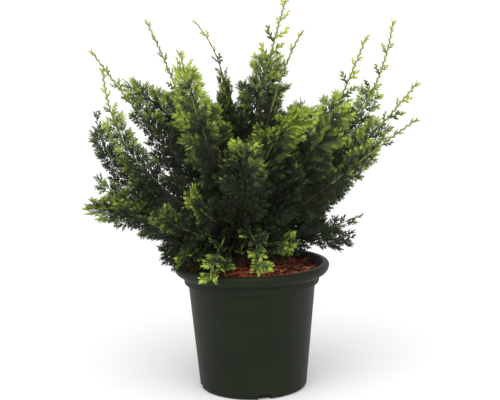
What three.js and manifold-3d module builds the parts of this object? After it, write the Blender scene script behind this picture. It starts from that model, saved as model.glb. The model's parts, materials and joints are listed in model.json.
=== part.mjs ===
// Dwarf hinoki cypress in a round nursery pot.
// Millimetres, +Z up. The origin is the centre of the pot's flat underside, and the plant's front faces -Y.
// The trunk stands on the growing medium. Boughs leave it at rising heights, and each bough carries one
// mass of foliage: a stem that swells to a flat, lobed heart and runs out in a whip, with side sprays as
// toothed blades on alternate sides, in one rolled plane. Small shoots grow straight from the trunk.

import * as THREE from 'three';
import { mergeVertices } from 'three/addons/utils/BufferGeometryUtils.js';
import Module from 'manifold-3d';

const wasm = await Module();
wasm.setup();

// ---- Driving dimensions ---------------------------------------------------------------------------

// Clearance between pieces that touch.
const GAP = 0.3;

// The pot: a tapered shell with a collar, a flared lip with a rounded edge and drain notches round its foot.
const POT_HEIGHT = 195.6;
const POT_BASE_RADIUS = 83.4;
const POT_FOOT_ROUND = 4;
const POT_NECK_RADIUS = 98;
const POT_NECK_HEIGHT = 162.8;
const COLLAR_RADIUS = 104.4;
const COLLAR_TOP = 176.9;
const LIP_RADIUS = 120;
const LIP_WIDEST = 190.6;
const LIP_ROUND = 5;
const LIP_STEPS = 3;
const MOUTH_RADIUS = 110;
const COLLAR_ROUND = 5;
const POT_WALL = 2.6;
const POT_FLOOR = 4;
const POT_SIDES = 32;
const NOTCH_COUNT = 4;
const NOTCH_TURN = -78.6;
const NOTCH_WIDTH = 20;
const NOTCH_HEIGHT = 9;
const NOTCH_DEPTH = 11;
const NOTCH_CORNER = 2;

// What fills the pot: growing medium, and a layer of shredded bark on top of it.
const MEDIUM_TOP = 177.7;
const MULCH_TOP = 187;
const MULCH_SIDES = 24;
const MULCH_CLEAR = 1.5;
const CHIP_COUNT = 14;
const CHIP_LENGTH = 26;
const CHIP_WIDTH = 7;
const CHIP_THICKNESS = 4;
const CHIP_SIZES = [0.6, 1.2];
const CHIP_TILT = 14;
const CHIP_HEIGHTS = [-0.5, 0.8];
const TRUNK_HOLE = 20;

// The trunk: its foot on the medium, its tip at the top of the plant, and where the leader takes over.
const FOOT = new THREE.Vector3(-20, 0, MEDIUM_TOP + GAP);
const TIP = new THREE.Vector3(58, 20, 591);
const TRUNK_RISE = 150;
const TIP_PULL = 140;
const TIP_AZIMUTH = 20;
const TIP_ELEVATION = 72;
const FORK = 0.36;
const TRUNK_RADIUS = 9;
const FORK_RADIUS = 4.2;
const FLARE = 8;
const FLARE_HEIGHT = 9;
const FLARE_LOBES = 5;
const FLARE_LOBE_DEPTH = 0.2;
const TRUNK_SIDES = 10;
const TRUNK_RINGS = 10;

// Limbs: how their girth follows their length, and where a bough ends and its mass begins.
const TWIG_RADIUS = 0.9;
const GIRTH_BASE = 1.2;
const GIRTH_PER_LENGTH = 1 / 130;
const BOUGH_TAPER = 0.72;
const BOUGH_SIDES = 5;
const BOUGH_RINGS = 4;
const BOUGH_BARE = 0.18;
const SHOOT_BARE = 0.2;
const PULL = 0.38;

// Side sprays: how many a limb carries, how far they open from their stem and how long they are. Shares
// are of the half width of the limb's foliage, and spreads are how far a draw may stray from the rule. A
// side spray may end past the tip of its limb by the tip margin.
const BOUGH_SPRAYS = 6;
const SHOOT_SPRAYS = 4;
const OPEN_ANGLE = 56;
const OPEN_CLOSING = 20;
const OPEN_SPREAD = 7;
const ROLL_SPREAD = 38;
const TILT_SPREAD = 25;
const SIZE_RANGE = [0.76, 1.09];
const SPRAY_LIFT = 0.12;
const FIRST_SHARE = 0.6;
const FULL_AT = 0.3;
const LAST_SHARE = 0.38;
const NARROWING = 1.3;
const FAN_WHIP = 0.03;
const TIP_MARGIN = 24;
const WHIP_SHARES = [0.4, 0.2];
const WHIP_SPRAYED = 0.65;

// Blades: each stands for one flat side spray, with forward teeth that shrink towards its tip. A blade
// that doesn't fit is pruned to one of these shares, or skipped.
const BLADE_THICKNESS = 1;
const BLADE_SLOPE = 0.4;
const BLADE_MARGIN = 3;
const TOOTH_FIRST = 0.2;
const TOOTH_LAST = 0.88;
const TOOTH_SHRINK = 0.62;
const TOOTH_BACK = 0.05;
const VALLEY_SHARE = 0.34;
const TWO_TEETH_LENGTH = 20;
const THREE_TEETH_LENGTH = 50;
const PRUNED = [1, 0.85, 0.7, 0.55, 0.4];

// Marks on a blade, along its length and out from its middle, that must lie in its own mass's space.
const BLADE_MARKS = [[1, 0], [0.75, 0], [0.45, 0.8], [0.45, -0.8]];

// The flat heart of a mass: its half width as a share of the foliage's, and its lobes.
const HEART_SHARE = 0.78;
const HEART_NOTCH = 0.68;
const HEART_THICKNESS = 3;
const HEART_RINGS = 8;
const SPACE_MARKS = 24;

// Limbs by name. The tip is given by its azimuth and reach from the trunk's foot and its height above the
// underside, the root by its height on the trunk. Then come the elevation at which the limb leaves the
// trunk and at which it ends, the share of it that is a thin whip, the half width of its foliage, the roll
// of the foliage's plane and its tone.
const BOUGHS = [
  ['left_high', 171, 222, 520, 68, 51, 55, 0.32, 43, 70, 'mid'],
  ['left_shoulder', 163, 179.5, 468, 82, 64, 24, 0.05, 46, 74, 'mid'],
  ['left_mid', -170, 197, 493, 54, 29, 88, 0.2, 36, 89, 'fresh'],
  ['left_outer', 178, 213, 427, 45, 26, 84, 0.06, 31, 87, 'deep'],
  ['left_low', -170, 211, 336, 34, 8, 48, 0.05, 31, 57, 'mid'],
  ['left_flat', -162, 225, 296, 17, 15, 8, 0.02, 30, 31, 'mid'],
  ['back_left_high', 152, 156, 565, 102, 46, 60, 0.36, 38, 81, 'mid'],
  ['front_left_fan', -136, 107, 517, 79, 65, 76, 0.12, 50, 38, 'bright'],
  ['centre_left_high', 158, 64, 562, 127, 71, 46, 0.36, 43, 30, 'mid'],
  ['centre_right_high', -14, 103, 544, 116, 63, 59, 0.5, 44, 53, 'mid'],
  ['right_high', -7, 196, 533, 76, 35, 68, 0.28, 53, 98, 'fresh'],
  ['right_tall', 13, 252, 557, 67, 33, 81, 0.3, 48, 70, 'mid'],
  ['right_outer', 3, 277, 464, 55, 28, 50, 0.24, 50, 70, 'mid'],
  ['right_mid', -12, 272, 415, 45, 28, 35, 0.2, 34, 60, 'mid'],
  ['front_right_fan', -46, 153, 430, 60, 62, 14, 0.05, 54, -16, 'fresh'],
  ['front_fan', -84, 120, 388, 42, 50, 58, 0.05, 54, -9, 'mid'],
  ['back_left', 127, 172, 402, 53, 44, 65, 0.06, 49, 88, 'deep'],
  ['back', 91, 182, 424, 89, 61, 57, 0.06, 55, 23, 'deep'],
  ['back_right', 54, 182, 427, 72, 45, 58, 0.06, 48, 60, 'deep'],
  ['back_low', 99, 190, 278, 23, 17, 30, 0.05, 46, 9, 'deep'],
  ['back_right_low', 34, 182, 298, 36, 27, 21, 0.05, 48, 30, 'deep'],
];
const SHOOTS = [
  ['back_left_low', 144, 172, 267, 24, 18, 25, 0.05, 43, 16, 'deep'],
  ['right_inner', 8, 160, 308, 33, 18, 30, 0.05, 38, 50, 'deep'],
  ['right_low', 1.5, 191, 263, 24, 10, 18, 0.1, 27, 40, 'deep'],
  ['right_lowest', -11, 169, 232, 15, 10, -13, 0.02, 26, 33, 'deep'],
  ['left_lowest', 173, 114, 209, 14, 6, -11, 0.02, 22, 60, 'deep'],
  ['inner_right', -28, 106, 335, 58, 40, 54, 0.02, 42, 40, 'deep'],
  ['front', -70, 98, 206, 62, 44, -78, 0.02, 15, 15, 'bright'],
  ['front_left', -107, 131, 201, 32, 31, -48, 0.02, 15, 0, 'bright'],
  ['front_left_high', -124, 121, 317, 63, 22, 50, 0.02, 17, 88, 'fresh'],
  ['left_front', -142, 105, 211, 24, 24, -40, 0.02, 15, 40, 'bright'],
  ['left_front_high', -141, 146, 289, 40, 23, 40, 0.02, 17, 60, 'bright'],
  ['right_front', -39, 104, 236, 30, 20, 0, 0.02, 17, 40, 'fresh'],
];
const LEADER = { name: 'leader', whip: 0.23, spread: 62, roll: 50, tone: 'mid' };

// ---- Materials ------------------------------------------------------------------------------------

const PLASTIC = new THREE.MeshStandardMaterial({ color: 0x2f332b, roughness: 0.45, metalness: 0 });
const MEDIUM = new THREE.MeshStandardMaterial({ color: 0x2a1c14, roughness: 1, metalness: 0 });
const MULCH = new THREE.MeshStandardMaterial({ color: 0x7c3216, roughness: 0.95, metalness: 0 });
const BARK = new THREE.MeshStandardMaterial({ color: 0x5e3a28, roughness: 0.9, metalness: 0 });
const FOLIAGE = {
  deep: new THREE.MeshStandardMaterial({ color: 0x1a2a14, roughness: 0.7, metalness: 0 }),
  mid: new THREE.MeshStandardMaterial({ color: 0x2f4a1e, roughness: 0.7, metalness: 0 }),
  fresh: new THREE.MeshStandardMaterial({ color: 0x4d6e28, roughness: 0.7, metalness: 0 }),
  bright: new THREE.MeshStandardMaterial({ color: 0x6f9a35, roughness: 0.7, metalness: 0 }),
};

// ---- Solids ---------------------------------------------------------------------------------------

const UP = new THREE.Vector3(0, 0, 1);
const radians = THREE.MathUtils.degToRad;

// A closed geometry as a solid for cutting and joining.
function solidOf(geometry) {
  const bare = geometry.clone();
  bare.deleteAttribute('normal');
  bare.deleteAttribute('uv');
  const merged = mergeVertices(bare, 1e-4);
  const position = merged.getAttribute('position');
  const mesh = new wasm.Mesh({
    numProp: 3,
    vertProperties: new Float32Array(position.array),
    triVerts: new Uint32Array(merged.index.array),
  });
  return new wasm.Manifold(mesh);
}

// The largest body of a solid, so that loose scraps are dropped and sealed hollows are filled.
function wholeBody(solid) {
  const bodies = solid.decompose();
  bodies.sort((first, second) => second.volume() - first.volume());
  return bodies[0];
}

// A solid as a named mesh with flat faces.
function meshOf(name, solid, material) {
  const { vertProperties, triVerts } = solid.getMesh();
  const indexed = new THREE.BufferGeometry();
  indexed.setAttribute('position', new THREE.BufferAttribute(vertProperties, 3));
  indexed.setIndex(new THREE.BufferAttribute(triVerts, 1));
  const geometry = indexed.toNonIndexed();
  geometry.computeVertexNormals();
  const mesh = new THREE.Mesh(geometry, material);
  mesh.name = name;
  return mesh;
}

function boxesMeet(first, second) {
  const startsBefore = (one, other) => [0, 1, 2].every((axis) => one.min[axis] <= other.max[axis]);
  return startsBefore(first, second) && startsBefore(second, first);
}

function touches(probe, solids) {
  const box = probe.boundingBox();
  return solids.some((solid) => boxesMeet(box, solid.boundingBox()) && !probe.intersect(solid).isEmpty());
}

// A lathe turned from radius and height pairs, standing up along Z.
function turned(profile, sides) {
  const points = profile.map(([radius, height]) => new THREE.Vector2(radius, height));
  const geometry = new THREE.LatheGeometry(points, sides);
  geometry.rotateX(Math.PI / 2);
  return geometry;
}

// ---- Curves ---------------------------------------------------------------------------------------

function heading(azimuth, elevation) {
  const level = Math.cos(radians(elevation));
  return new THREE.Vector3(
    level * Math.cos(radians(azimuth)),
    level * Math.sin(radians(azimuth)),
    Math.sin(radians(elevation)),
  );
}

const trunkAxis = new THREE.CubicBezierCurve3(
  FOOT,
  FOOT.clone().addScaledVector(UP, TRUNK_RISE),
  TIP.clone().addScaledVector(heading(TIP_AZIMUTH, TIP_ELEVATION), -TIP_PULL),
  TIP,
);

// The point of the trunk's axis at a height above its foot, by halving.
function trunkPointAt(height) {
  let low = 0;
  let high = 1;
  for (let step = 0; step < 30; step++) {
    const middle = (low + high) / 2;
    if (trunkAxis.getPoint(middle).z - FOOT.z < height) low = middle;
    else high = middle;
  }
  return trunkAxis.getPoint(low);
}

function limbAxis({ azimuth, reach, top, root, leave, finish }) {
  const start = trunkPointAt(root);
  const end = heading(azimuth, 0).multiplyScalar(reach).add(FOOT).setZ(top);
  const pull = PULL * start.distanceTo(end);
  return new THREE.CubicBezierCurve3(
    start,
    start.clone().addScaledVector(heading(azimuth, leave), pull),
    end.clone().addScaledVector(heading(azimuth, finish), -pull),
    end,
  );
}

// Two directions square to a limb that leans towards an azimuth: one in its foliage's plane, which is
// level where the roll is 0, and the plane's normal.
function planeOf(tangent, azimuth, roll) {
  const side = heading(azimuth - 90, 0);
  side.addScaledVector(tangent, -side.dot(tangent)).normalize();
  side.applyAxisAngle(tangent, radians(roll));
  const normal = side.clone().cross(tangent);
  return { side, normal };
}

// A limb along a curve from one share of it to another: a cylinder bent along it, with a radius that
// follows its height.
function bentLimb({ axis, azimuth, roll }, from, to, radiusAt, sides, rings) {
  const geometry = new THREE.CylinderGeometry(1, 1, 1, sides, rings);
  const position = geometry.getAttribute('position');
  for (let index = 0; index < position.count; index++) {
    const share = position.getY(index) + 0.5;
    const at = THREE.MathUtils.lerp(from, to, share);
    const tangent = axis.getTangent(at);
    const { side, normal } = planeOf(tangent, azimuth, roll);
    const turn = Math.atan2(position.getZ(index), position.getX(index));
    const radius = radiusAt(share, turn) * Math.hypot(position.getX(index), position.getZ(index));
    const point = axis.getPoint(at);
    point.addScaledVector(side, radius * Math.cos(turn));
    point.addScaledVector(normal, radius * Math.sin(turn));
    position.setXYZ(index, point.x, point.y, point.z);
  }
  return geometry;
}

// ---- The seeded rule ------------------------------------------------------------------------------

// A multiplying generator: the same seed gives the same twigs everywhere.
class Draw {
  constructor(name) {
    const letters = [...name].reduce((sum, letter) => sum + letter.charCodeAt(0), 0);
    this.state = letters * 7 + 1;
    for (let warm = 0; warm < 3; warm++) this.between(0, 1);
  }

  between(low, high) {
    this.state = (this.state * 48271) % 2147483647;
    return low + ((high - low) * this.state) / 2147483647;
  }
}

// How wide the foliage is along its stem, as a share of its half width: it swells, narrows, and runs out
// in a whip from a share of the stem on. Foliage with next to no whip is a fan, full to its end.
function envelope(share, whip, whipStart) {
  if (whip <= FAN_WHIP) return 1;
  if (share > whipStart) {
    return THREE.MathUtils.lerp(...WHIP_SHARES, (share - whipStart) / (1 - whipStart));
  }
  const along = share / whipStart;
  if (along < FULL_AT) return THREE.MathUtils.lerp(FIRST_SHARE, 1, along / FULL_AT);
  return THREE.MathUtils.lerp(1, LAST_SHARE, ((along - FULL_AT) / (1 - FULL_AT)) ** NARROWING);
}

// The side sprays of one mass: where each leaves the stem, its direction, plane and length.
function sideSprays(mass) {
  const draw = new Draw(mass.name);
  const last = 1 - (1 - WHIP_SPRAYED) * mass.whip;
  const whipStart = (1 - mass.whip - mass.bare) / (last - mass.bare);
  const sprays = [];
  for (let index = 0; index < mass.sprays; index++) {
    const share = (index + 0.5) / mass.sprays;
    const at = THREE.MathUtils.lerp(mass.bare, last, share);
    const tangent = mass.axis.getTangent(at);
    const roll = mass.roll + draw.between(-ROLL_SPREAD, ROLL_SPREAD);
    const open = radians(OPEN_ANGLE - OPEN_CLOSING * share + draw.between(-OPEN_SPREAD, OPEN_SPREAD));
    const size = draw.between(...SIZE_RANGE);
    const tilt = radians(draw.between(-TILT_SPREAD, TILT_SPREAD));
    const { side } = planeOf(tangent, mass.azimuth, roll);
    const direction = tangent.clone().multiplyScalar(Math.cos(open));
    direction.addScaledVector(side, (index % 2 ? -1 : 1) * Math.sin(open));
    direction.addScaledVector(UP, SPRAY_LIFT).normalize();
    const normal = direction.clone().cross(tangent).normalize().applyAxisAngle(direction, tilt);
    const reach = mass.spread * envelope(share, mass.whip, whipStart) * size;
    const rest = (1 - at) * mass.axis.getLength() + TIP_MARGIN;
    const length = Math.min(reach / Math.sin(open), rest / Math.cos(open));
    sprays.push({ root: mass.axis.getPoint(at), direction, normal, length });
  }
  return sprays;
}

// ---- Foliage --------------------------------------------------------------------------------------

function bladeHalfWidth(length) {
  return BLADE_SLOPE * length + BLADE_MARGIN;
}

function bladeTeeth(length) {
  if (length > THREE_TEETH_LENGTH) return 3;
  return length > TWO_TEETH_LENGTH ? 2 : 1;
}

// One side of a blade's outline, as distances along it and out from its middle.
function bladeEdge(length) {
  const teeth = bladeTeeth(length);
  const edge = [];
  for (let tooth = 0; tooth < teeth; tooth++) {
    const along = THREE.MathUtils.lerp(TOOTH_FIRST, TOOTH_LAST, (tooth + 1) / teeth);
    const out = bladeHalfWidth(length) * (1 - (TOOTH_SHRINK * tooth) / teeth);
    edge.push([along * length, out]);
    edge.push([(along - TOOTH_BACK) * length, VALLEY_SHARE * out]);
  }
  return edge;
}

// A toothed blade with its root on the stem's axis, grown by a margin where it serves as a probe.
function blade(spray, length, margin) {
  const edge = bladeEdge(length);
  const right = edge.map(([along, out]) => new THREE.Vector2(along, out + margin));
  const left = edge.map(([along, out]) => new THREE.Vector2(along, -out - margin)).reverse();
  const root = new THREE.Vector2(-margin, 0);
  const tip = new THREE.Vector2(length + margin, 0);
  const outline = new THREE.Shape([root, ...right, tip, ...left]);
  const thickness = BLADE_THICKNESS + 2 * margin;
  const geometry = new THREE.ExtrudeGeometry(outline, { depth: thickness, bevelEnabled: false });
  geometry.translate(0, 0, -thickness / 2);
  const across = spray.normal.clone().cross(spray.direction);
  const place = new THREE.Matrix4().makeBasis(spray.direction, across, spray.normal);
  geometry.applyMatrix4(place.setPosition(spray.root));
  return solidOf(geometry);
}

function bladeMarks(spray, length) {
  const across = spray.normal.clone().cross(spray.direction);
  return BLADE_MARKS.map(([along, aside]) => spray.root
    .clone()
    .addScaledVector(spray.direction, along * length)
    .addScaledVector(across, aside * bladeHalfWidth(length)));
}

// A mass's stem goes on from its bough, or straight from the trunk, to the tip. It swells to the flat
// heart, whose two edges have their lobes on alternate rings.
function heartSolid(mass, width, margin) {
  const from = mass.start + GAP / mass.axis.getLength();
  const heartEnd = 1 - mass.whip;
  const radiusAt = (share, turn) => {
    const at = THREE.MathUtils.lerp(from, 1, share);
    const along = THREE.MathUtils.clamp((at - mass.bare) / (heartEnd - mass.bare), 0, 1);
    const swell = Math.sin(Math.PI * along);
    const lobed = (Math.round(share * HEART_RINGS) % 2 === 0) === (Math.cos(turn) > 0);
    const edge = (lobed ? 1 : HEART_NOTCH) * width * HEART_SHARE * mass.spread;
    const face = width > 0 ? HEART_THICKNESS : 0;
    const stem = THREE.MathUtils.lerp(mass.radius, TWIG_RADIUS, share);
    return margin + stem + swell * (Math.abs(Math.cos(turn)) > 0.5 ? edge : face);
  };
  return solidOf(bentLimb(mass, from, 1, radiusAt, 4, HEART_RINGS)).subtract(trunkClear);
}

// The share of space that a mass claims at a point: the distance to its stem over its half width.
function claim(mass, point) {
  return Math.min(...mass.marks.map((mark) => mark.distanceTo(point))) / mass.spread;
}

function ownSpace(mass, masses, point) {
  const own = claim(mass, point);
  return masses.every((other) => other === mass || claim(other, point) > own);
}

// A mass: the widest heart that fits, with every blade that fits, pruned or skipped where it would leave
// the mass's space or come too near a limb or another mass.
function foliageSolid(mass, masses, limbs) {
  const others = masses.filter((other) => other !== mass);
  const around = [...limbs, ...others.map((other) => other.solid ?? other.stem)];
  const width = PRUNED.find((share) => !touches(heartSolid(mass, share, GAP), around)) ?? 0;
  const blades = [];
  for (const spray of sideSprays(mass)) {
    const length = PRUNED.map((share) => share * spray.length).find((tried) => {
      const inside = bladeMarks(spray, tried).every((point) => ownSpace(mass, masses, point));
      return inside && !touches(blade(spray, tried, GAP), [...around, ...blades]);
    });
    if (length) blades.push(blade(spray, length, 0));
  }
  return wholeBody(wasm.Manifold.union([heartSolid(mass, width, 0), ...blades]));
}

// ---- The pot and its filling ----------------------------------------------------------------------

// The lip flares from the collar's top edge to its widest, then rounds over to the mouth's edge.
function lipOutline() {
  const outline = [];
  for (let step = 0; step < 2 * LIP_STEPS; step++) {
    const flaring = step < LIP_STEPS;
    const turn = radians(-90 + (90 * step) / LIP_STEPS);
    const centre = flaring ? COLLAR_RADIUS : LIP_RADIUS - LIP_ROUND;
    const depth = flaring ? LIP_WIDEST - COLLAR_TOP : POT_HEIGHT - LIP_WIDEST;
    outline.push([centre + (LIP_RADIUS - centre) * Math.cos(turn), LIP_WIDEST + depth * Math.sin(turn)]);
  }
  return [...outline, [MOUTH_RADIUS, POT_HEIGHT]];
}

// The inner radius of the flared lip at a height, from the collar up to the mouth.
function mouthWall(height) {
  const low = COLLAR_TOP - COLLAR_ROUND;
  return THREE.MathUtils.mapLinear(height, low, POT_HEIGHT, COLLAR_RADIUS - POT_WALL, MOUTH_RADIUS);
}

function wallRadius(height) {
  return THREE.MathUtils.mapLinear(height, 0, POT_NECK_HEIGHT, POT_BASE_RADIUS, POT_NECK_RADIUS) - POT_WALL;
}

// The inside of the pot from the floor up, moved inwards by a margin.
function innerWall(margin) {
  const neck = POT_NECK_HEIGHT - POT_WALL / 2;
  return [
    [wallRadius(POT_FLOOR) - margin, POT_FLOOR + margin],
    [wallRadius(neck) - margin, neck],
    [COLLAR_RADIUS - POT_WALL - margin, COLLAR_TOP - COLLAR_ROUND],
  ];
}

// A drain notch through the foot of the wall, open downwards, in a direction from the pot's axis.
function notch(turn) {
  const half = NOTCH_WIDTH / 2;
  const shape = new THREE.Shape([
    new THREE.Vector2(-half, -1),
    new THREE.Vector2(half, -1),
    new THREE.Vector2(half, NOTCH_HEIGHT - NOTCH_CORNER),
    new THREE.Vector2(half - NOTCH_CORNER, NOTCH_HEIGHT),
    new THREE.Vector2(-half + NOTCH_CORNER, NOTCH_HEIGHT),
    new THREE.Vector2(-half, NOTCH_HEIGHT - NOTCH_CORNER),
  ]);
  const geometry = new THREE.ExtrudeGeometry(shape, { depth: 2 * NOTCH_DEPTH, bevelEnabled: false });
  geometry.rotateX(Math.PI / 2);
  geometry.translate(0, NOTCH_DEPTH - POT_BASE_RADIUS, 0);
  geometry.rotateZ(radians(turn) + Math.PI / 2);
  return solidOf(geometry);
}

function potSolid() {
  const profile = [
    [0, 0],
    [POT_BASE_RADIUS - POT_FOOT_ROUND, 0],
    [POT_BASE_RADIUS, POT_FOOT_ROUND],
    [POT_NECK_RADIUS, POT_NECK_HEIGHT],
    [COLLAR_RADIUS - 1, POT_NECK_HEIGHT + COLLAR_ROUND],
    ...lipOutline(),
    ...innerWall(0).reverse(),
    [0, POT_FLOOR],
  ];
  let pot = solidOf(turned(profile, POT_SIDES));
  for (let index = 0; index < NOTCH_COUNT; index++) {
    pot = pot.subtract(notch(NOTCH_TURN + (index * 360) / NOTCH_COUNT));
  }
  return wholeBody(pot);
}

function mediumSolid() {
  const radius = COLLAR_RADIUS - POT_WALL - GAP;
  const profile = [[0, POT_FLOOR + GAP], ...innerWall(GAP), [radius, MEDIUM_TOP], [0, MEDIUM_TOP]];
  return solidOf(turned(profile, POT_SIDES));
}

// A layer of shredded bark with a hole round the trunk's foot, and single chips lying in its surface.
function mulchSolid() {
  const bottom = MEDIUM_TOP + GAP;
  const outer = mouthWall(MULCH_TOP - 2) - MULCH_CLEAR;
  const profile = [
    [0, bottom],
    [mouthWall(bottom) - MULCH_CLEAR, bottom],
    [outer, MULCH_TOP - 2],
    [outer - 5, MULCH_TOP],
    [0, MULCH_TOP],
  ];
  let mulch = solidOf(turned(profile, MULCH_SIDES));
  const draw = new Draw('mulch');
  for (let index = 0; index < CHIP_COUNT; index++) {
    const size = draw.between(...CHIP_SIZES);
    const chip = new THREE.BoxGeometry(size * CHIP_LENGTH, size * CHIP_WIDTH, CHIP_THICKNESS);
    chip.rotateY(radians(draw.between(-CHIP_TILT, CHIP_TILT)));
    chip.rotateZ(radians(draw.between(0, 360)));
    const reach = Math.sqrt(draw.between(0, 1)) * (outer - CHIP_LENGTH / 2);
    const place = heading((index * 360) / CHIP_COUNT, 0).multiplyScalar(reach);
    chip.translate(place.x, place.y, MULCH_TOP + draw.between(...CHIP_HEIGHTS));
    mulch = mulch.add(solidOf(chip));
  }
  const hole = new THREE.CylinderGeometry(TRUNK_HOLE, TRUNK_HOLE, 4 * (MULCH_TOP - bottom), 12);
  hole.rotateX(Math.PI / 2);
  hole.translate(FOOT.x, FOOT.y, FOOT.z);
  return wholeBody(mulch.subtract(solidOf(hole)));
}

// ---- The limbs ------------------------------------------------------------------------------------

// The trunk's girth: an even taper, with a lobed root flare at the foot.
function trunkRadius(margin) {
  const height = trunkAxis.getPoint(FORK).z - FOOT.z;
  return (share, turn) => {
    const taper = THREE.MathUtils.lerp(TRUNK_RADIUS, FORK_RADIUS, share);
    const flare = FLARE * Math.exp((-share * height) / FLARE_HEIGHT);
    const lobes = 1 - FLARE_LOBE_DEPTH * (1 - Math.cos(FLARE_LOBES * turn));
    return margin + taper + flare * lobes;
  };
}

function trunkSolid(margin) {
  const end = FORK + margin / trunkAxis.getLength();
  const limb = { axis: trunkAxis, azimuth: TIP_AZIMUTH, roll: 0 };
  return solidOf(bentLimb(limb, 0, end, trunkRadius(margin), TRUNK_SIDES, TRUNK_RINGS));
}

function boughSolid(bough) {
  const radiusAt = (share) => bough.girth * THREE.MathUtils.lerp(1, BOUGH_TAPER, share);
  const whole = solidOf(bentLimb(bough, 0, bough.bare, radiusAt, BOUGH_SIDES, BOUGH_RINGS));
  return wholeBody(whole.subtract(trunkClear));
}

function limbOf(row, bare, sprays) {
  const [name, azimuth, reach, top, root, leave, finish, whip, spread, roll, tone] = row;
  const axis = limbAxis({ azimuth, reach, top, root, leave, finish });
  const girth = GIRTH_BASE + GIRTH_PER_LENGTH * axis.getLength();
  return { name, axis, azimuth, whip, spread, roll, tone, girth, bare, sprays };
}

// A mass as planned: its bare stem, which the others keep clear of, and marks along it for its space.
function planMass(limb, start, radius) {
  const mass = { ...limb, start, radius, marks: [] };
  for (let mark = 0; mark <= SPACE_MARKS; mark++) {
    mass.marks.push(mass.axis.getPoint(THREE.MathUtils.lerp(mass.bare, 1, mark / SPACE_MARKS)));
  }
  mass.stem = wholeBody(heartSolid(mass, 0, 0));
  return mass;
}

// ---- Assembly -------------------------------------------------------------------------------------

const pot = potSolid();
const mulch = mulchSolid();
const trunk = trunkSolid(0);
const trunkClear = trunkSolid(GAP);
const boughs = BOUGHS.map((row) => limbOf(row, BOUGH_BARE, BOUGH_SPRAYS));
const shoots = SHOOTS.map((row) => limbOf(row, SHOOT_BARE, SHOOT_SPRAYS));
const leader = { ...LEADER, axis: trunkAxis, azimuth: TIP_AZIMUTH, bare: FORK, sprays: BOUGH_SPRAYS };

const boughSolids = boughs.map((bough) => boughSolid(bough));
const masses = [
  planMass(leader, FORK, FORK_RADIUS),
  ...boughs.map((bough) => planMass(bough, bough.bare, BOUGH_TAPER * bough.girth)),
  ...shoots.map((shoot) => planMass(shoot, 0, shoot.girth)),
];
for (const mass of masses) mass.solid = foliageSolid(mass, masses, [pot, mulch, trunk, ...boughSolids]);

const plant = new THREE.Group();
plant.add(meshOf('trunk', trunk, BARK));
boughs.forEach((bough, index) => plant.add(meshOf(`bough_${bough.name}`, boughSolids[index], BARK)));
for (const mass of masses) plant.add(meshOf(`foliage_${mass.name}`, mass.solid, FOLIAGE[mass.tone]));

const container = new THREE.Group();
container.add(meshOf('pot', pot, PLASTIC));
container.add(meshOf('growing_medium', mediumSolid(), MEDIUM));
container.add(meshOf('bark_mulch', mulch, MULCH));

const potted = new THREE.Group();
potted.add(container, plant);

export default potted;
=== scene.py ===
"""Dwarf hinoki cypress in a round nursery pot: the finished looks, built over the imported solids.

It is laid out as a Blender add-on and run as a script. Everything is in metres, +Z up, and the plant's
front faces -Y. The growth rule is the one that the solids follow, carried on to finer twigs: each limb
carries alternate side shoots, each side shoot carries alternate flat sprays, and each spray is a fan of
blunt lobes of scale leaves.
"""

import json
import math
from dataclasses import dataclass

import bmesh
import bpy
from bpy.props import FloatProperty, FloatVectorProperty, IntProperty, PointerProperty
from mathutils import Matrix, Quaternion, Vector, noise

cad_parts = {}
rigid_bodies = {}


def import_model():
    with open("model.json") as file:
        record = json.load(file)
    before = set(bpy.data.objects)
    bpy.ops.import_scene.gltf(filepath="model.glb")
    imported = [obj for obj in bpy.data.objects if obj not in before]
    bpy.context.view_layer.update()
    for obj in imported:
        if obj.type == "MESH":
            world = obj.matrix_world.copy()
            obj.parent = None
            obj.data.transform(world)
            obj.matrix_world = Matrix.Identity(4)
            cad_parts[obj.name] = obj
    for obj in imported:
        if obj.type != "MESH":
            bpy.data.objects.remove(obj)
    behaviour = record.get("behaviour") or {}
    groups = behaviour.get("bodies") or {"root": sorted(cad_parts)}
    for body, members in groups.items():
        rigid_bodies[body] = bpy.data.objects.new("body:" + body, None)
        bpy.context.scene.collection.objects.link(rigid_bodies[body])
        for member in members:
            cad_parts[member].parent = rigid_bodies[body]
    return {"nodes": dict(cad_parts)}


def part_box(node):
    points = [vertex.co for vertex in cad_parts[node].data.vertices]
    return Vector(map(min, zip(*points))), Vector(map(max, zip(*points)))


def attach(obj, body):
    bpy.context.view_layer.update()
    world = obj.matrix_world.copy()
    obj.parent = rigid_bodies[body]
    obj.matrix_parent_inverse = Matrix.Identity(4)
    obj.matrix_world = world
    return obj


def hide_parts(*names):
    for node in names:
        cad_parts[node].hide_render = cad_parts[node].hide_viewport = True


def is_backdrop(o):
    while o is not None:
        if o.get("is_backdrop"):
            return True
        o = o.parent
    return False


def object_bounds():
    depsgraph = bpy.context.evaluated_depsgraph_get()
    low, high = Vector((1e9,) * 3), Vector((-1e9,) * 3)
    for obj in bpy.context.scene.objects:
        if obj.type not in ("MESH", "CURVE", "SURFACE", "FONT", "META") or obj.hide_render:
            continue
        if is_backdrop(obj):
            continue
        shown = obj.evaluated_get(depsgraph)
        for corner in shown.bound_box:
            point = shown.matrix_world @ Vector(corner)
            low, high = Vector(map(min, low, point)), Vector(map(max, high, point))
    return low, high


bl_info = {
    "name": "Dwarf Hinoki Cypress",
    "version": (1, 0, 0),
    "blender": (4, 5, 0),
    "location": "View3D > Sidebar > Cypress",
    "description": "Grows a dwarf hinoki cypress on its packed limbs and pots it",
    "category": "Object",
}

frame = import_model()
CAD_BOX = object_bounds()
MM = 0.001
BODY = "root"

# ---- Limbs, as the solids have them --------------------------------------------------------------

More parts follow.
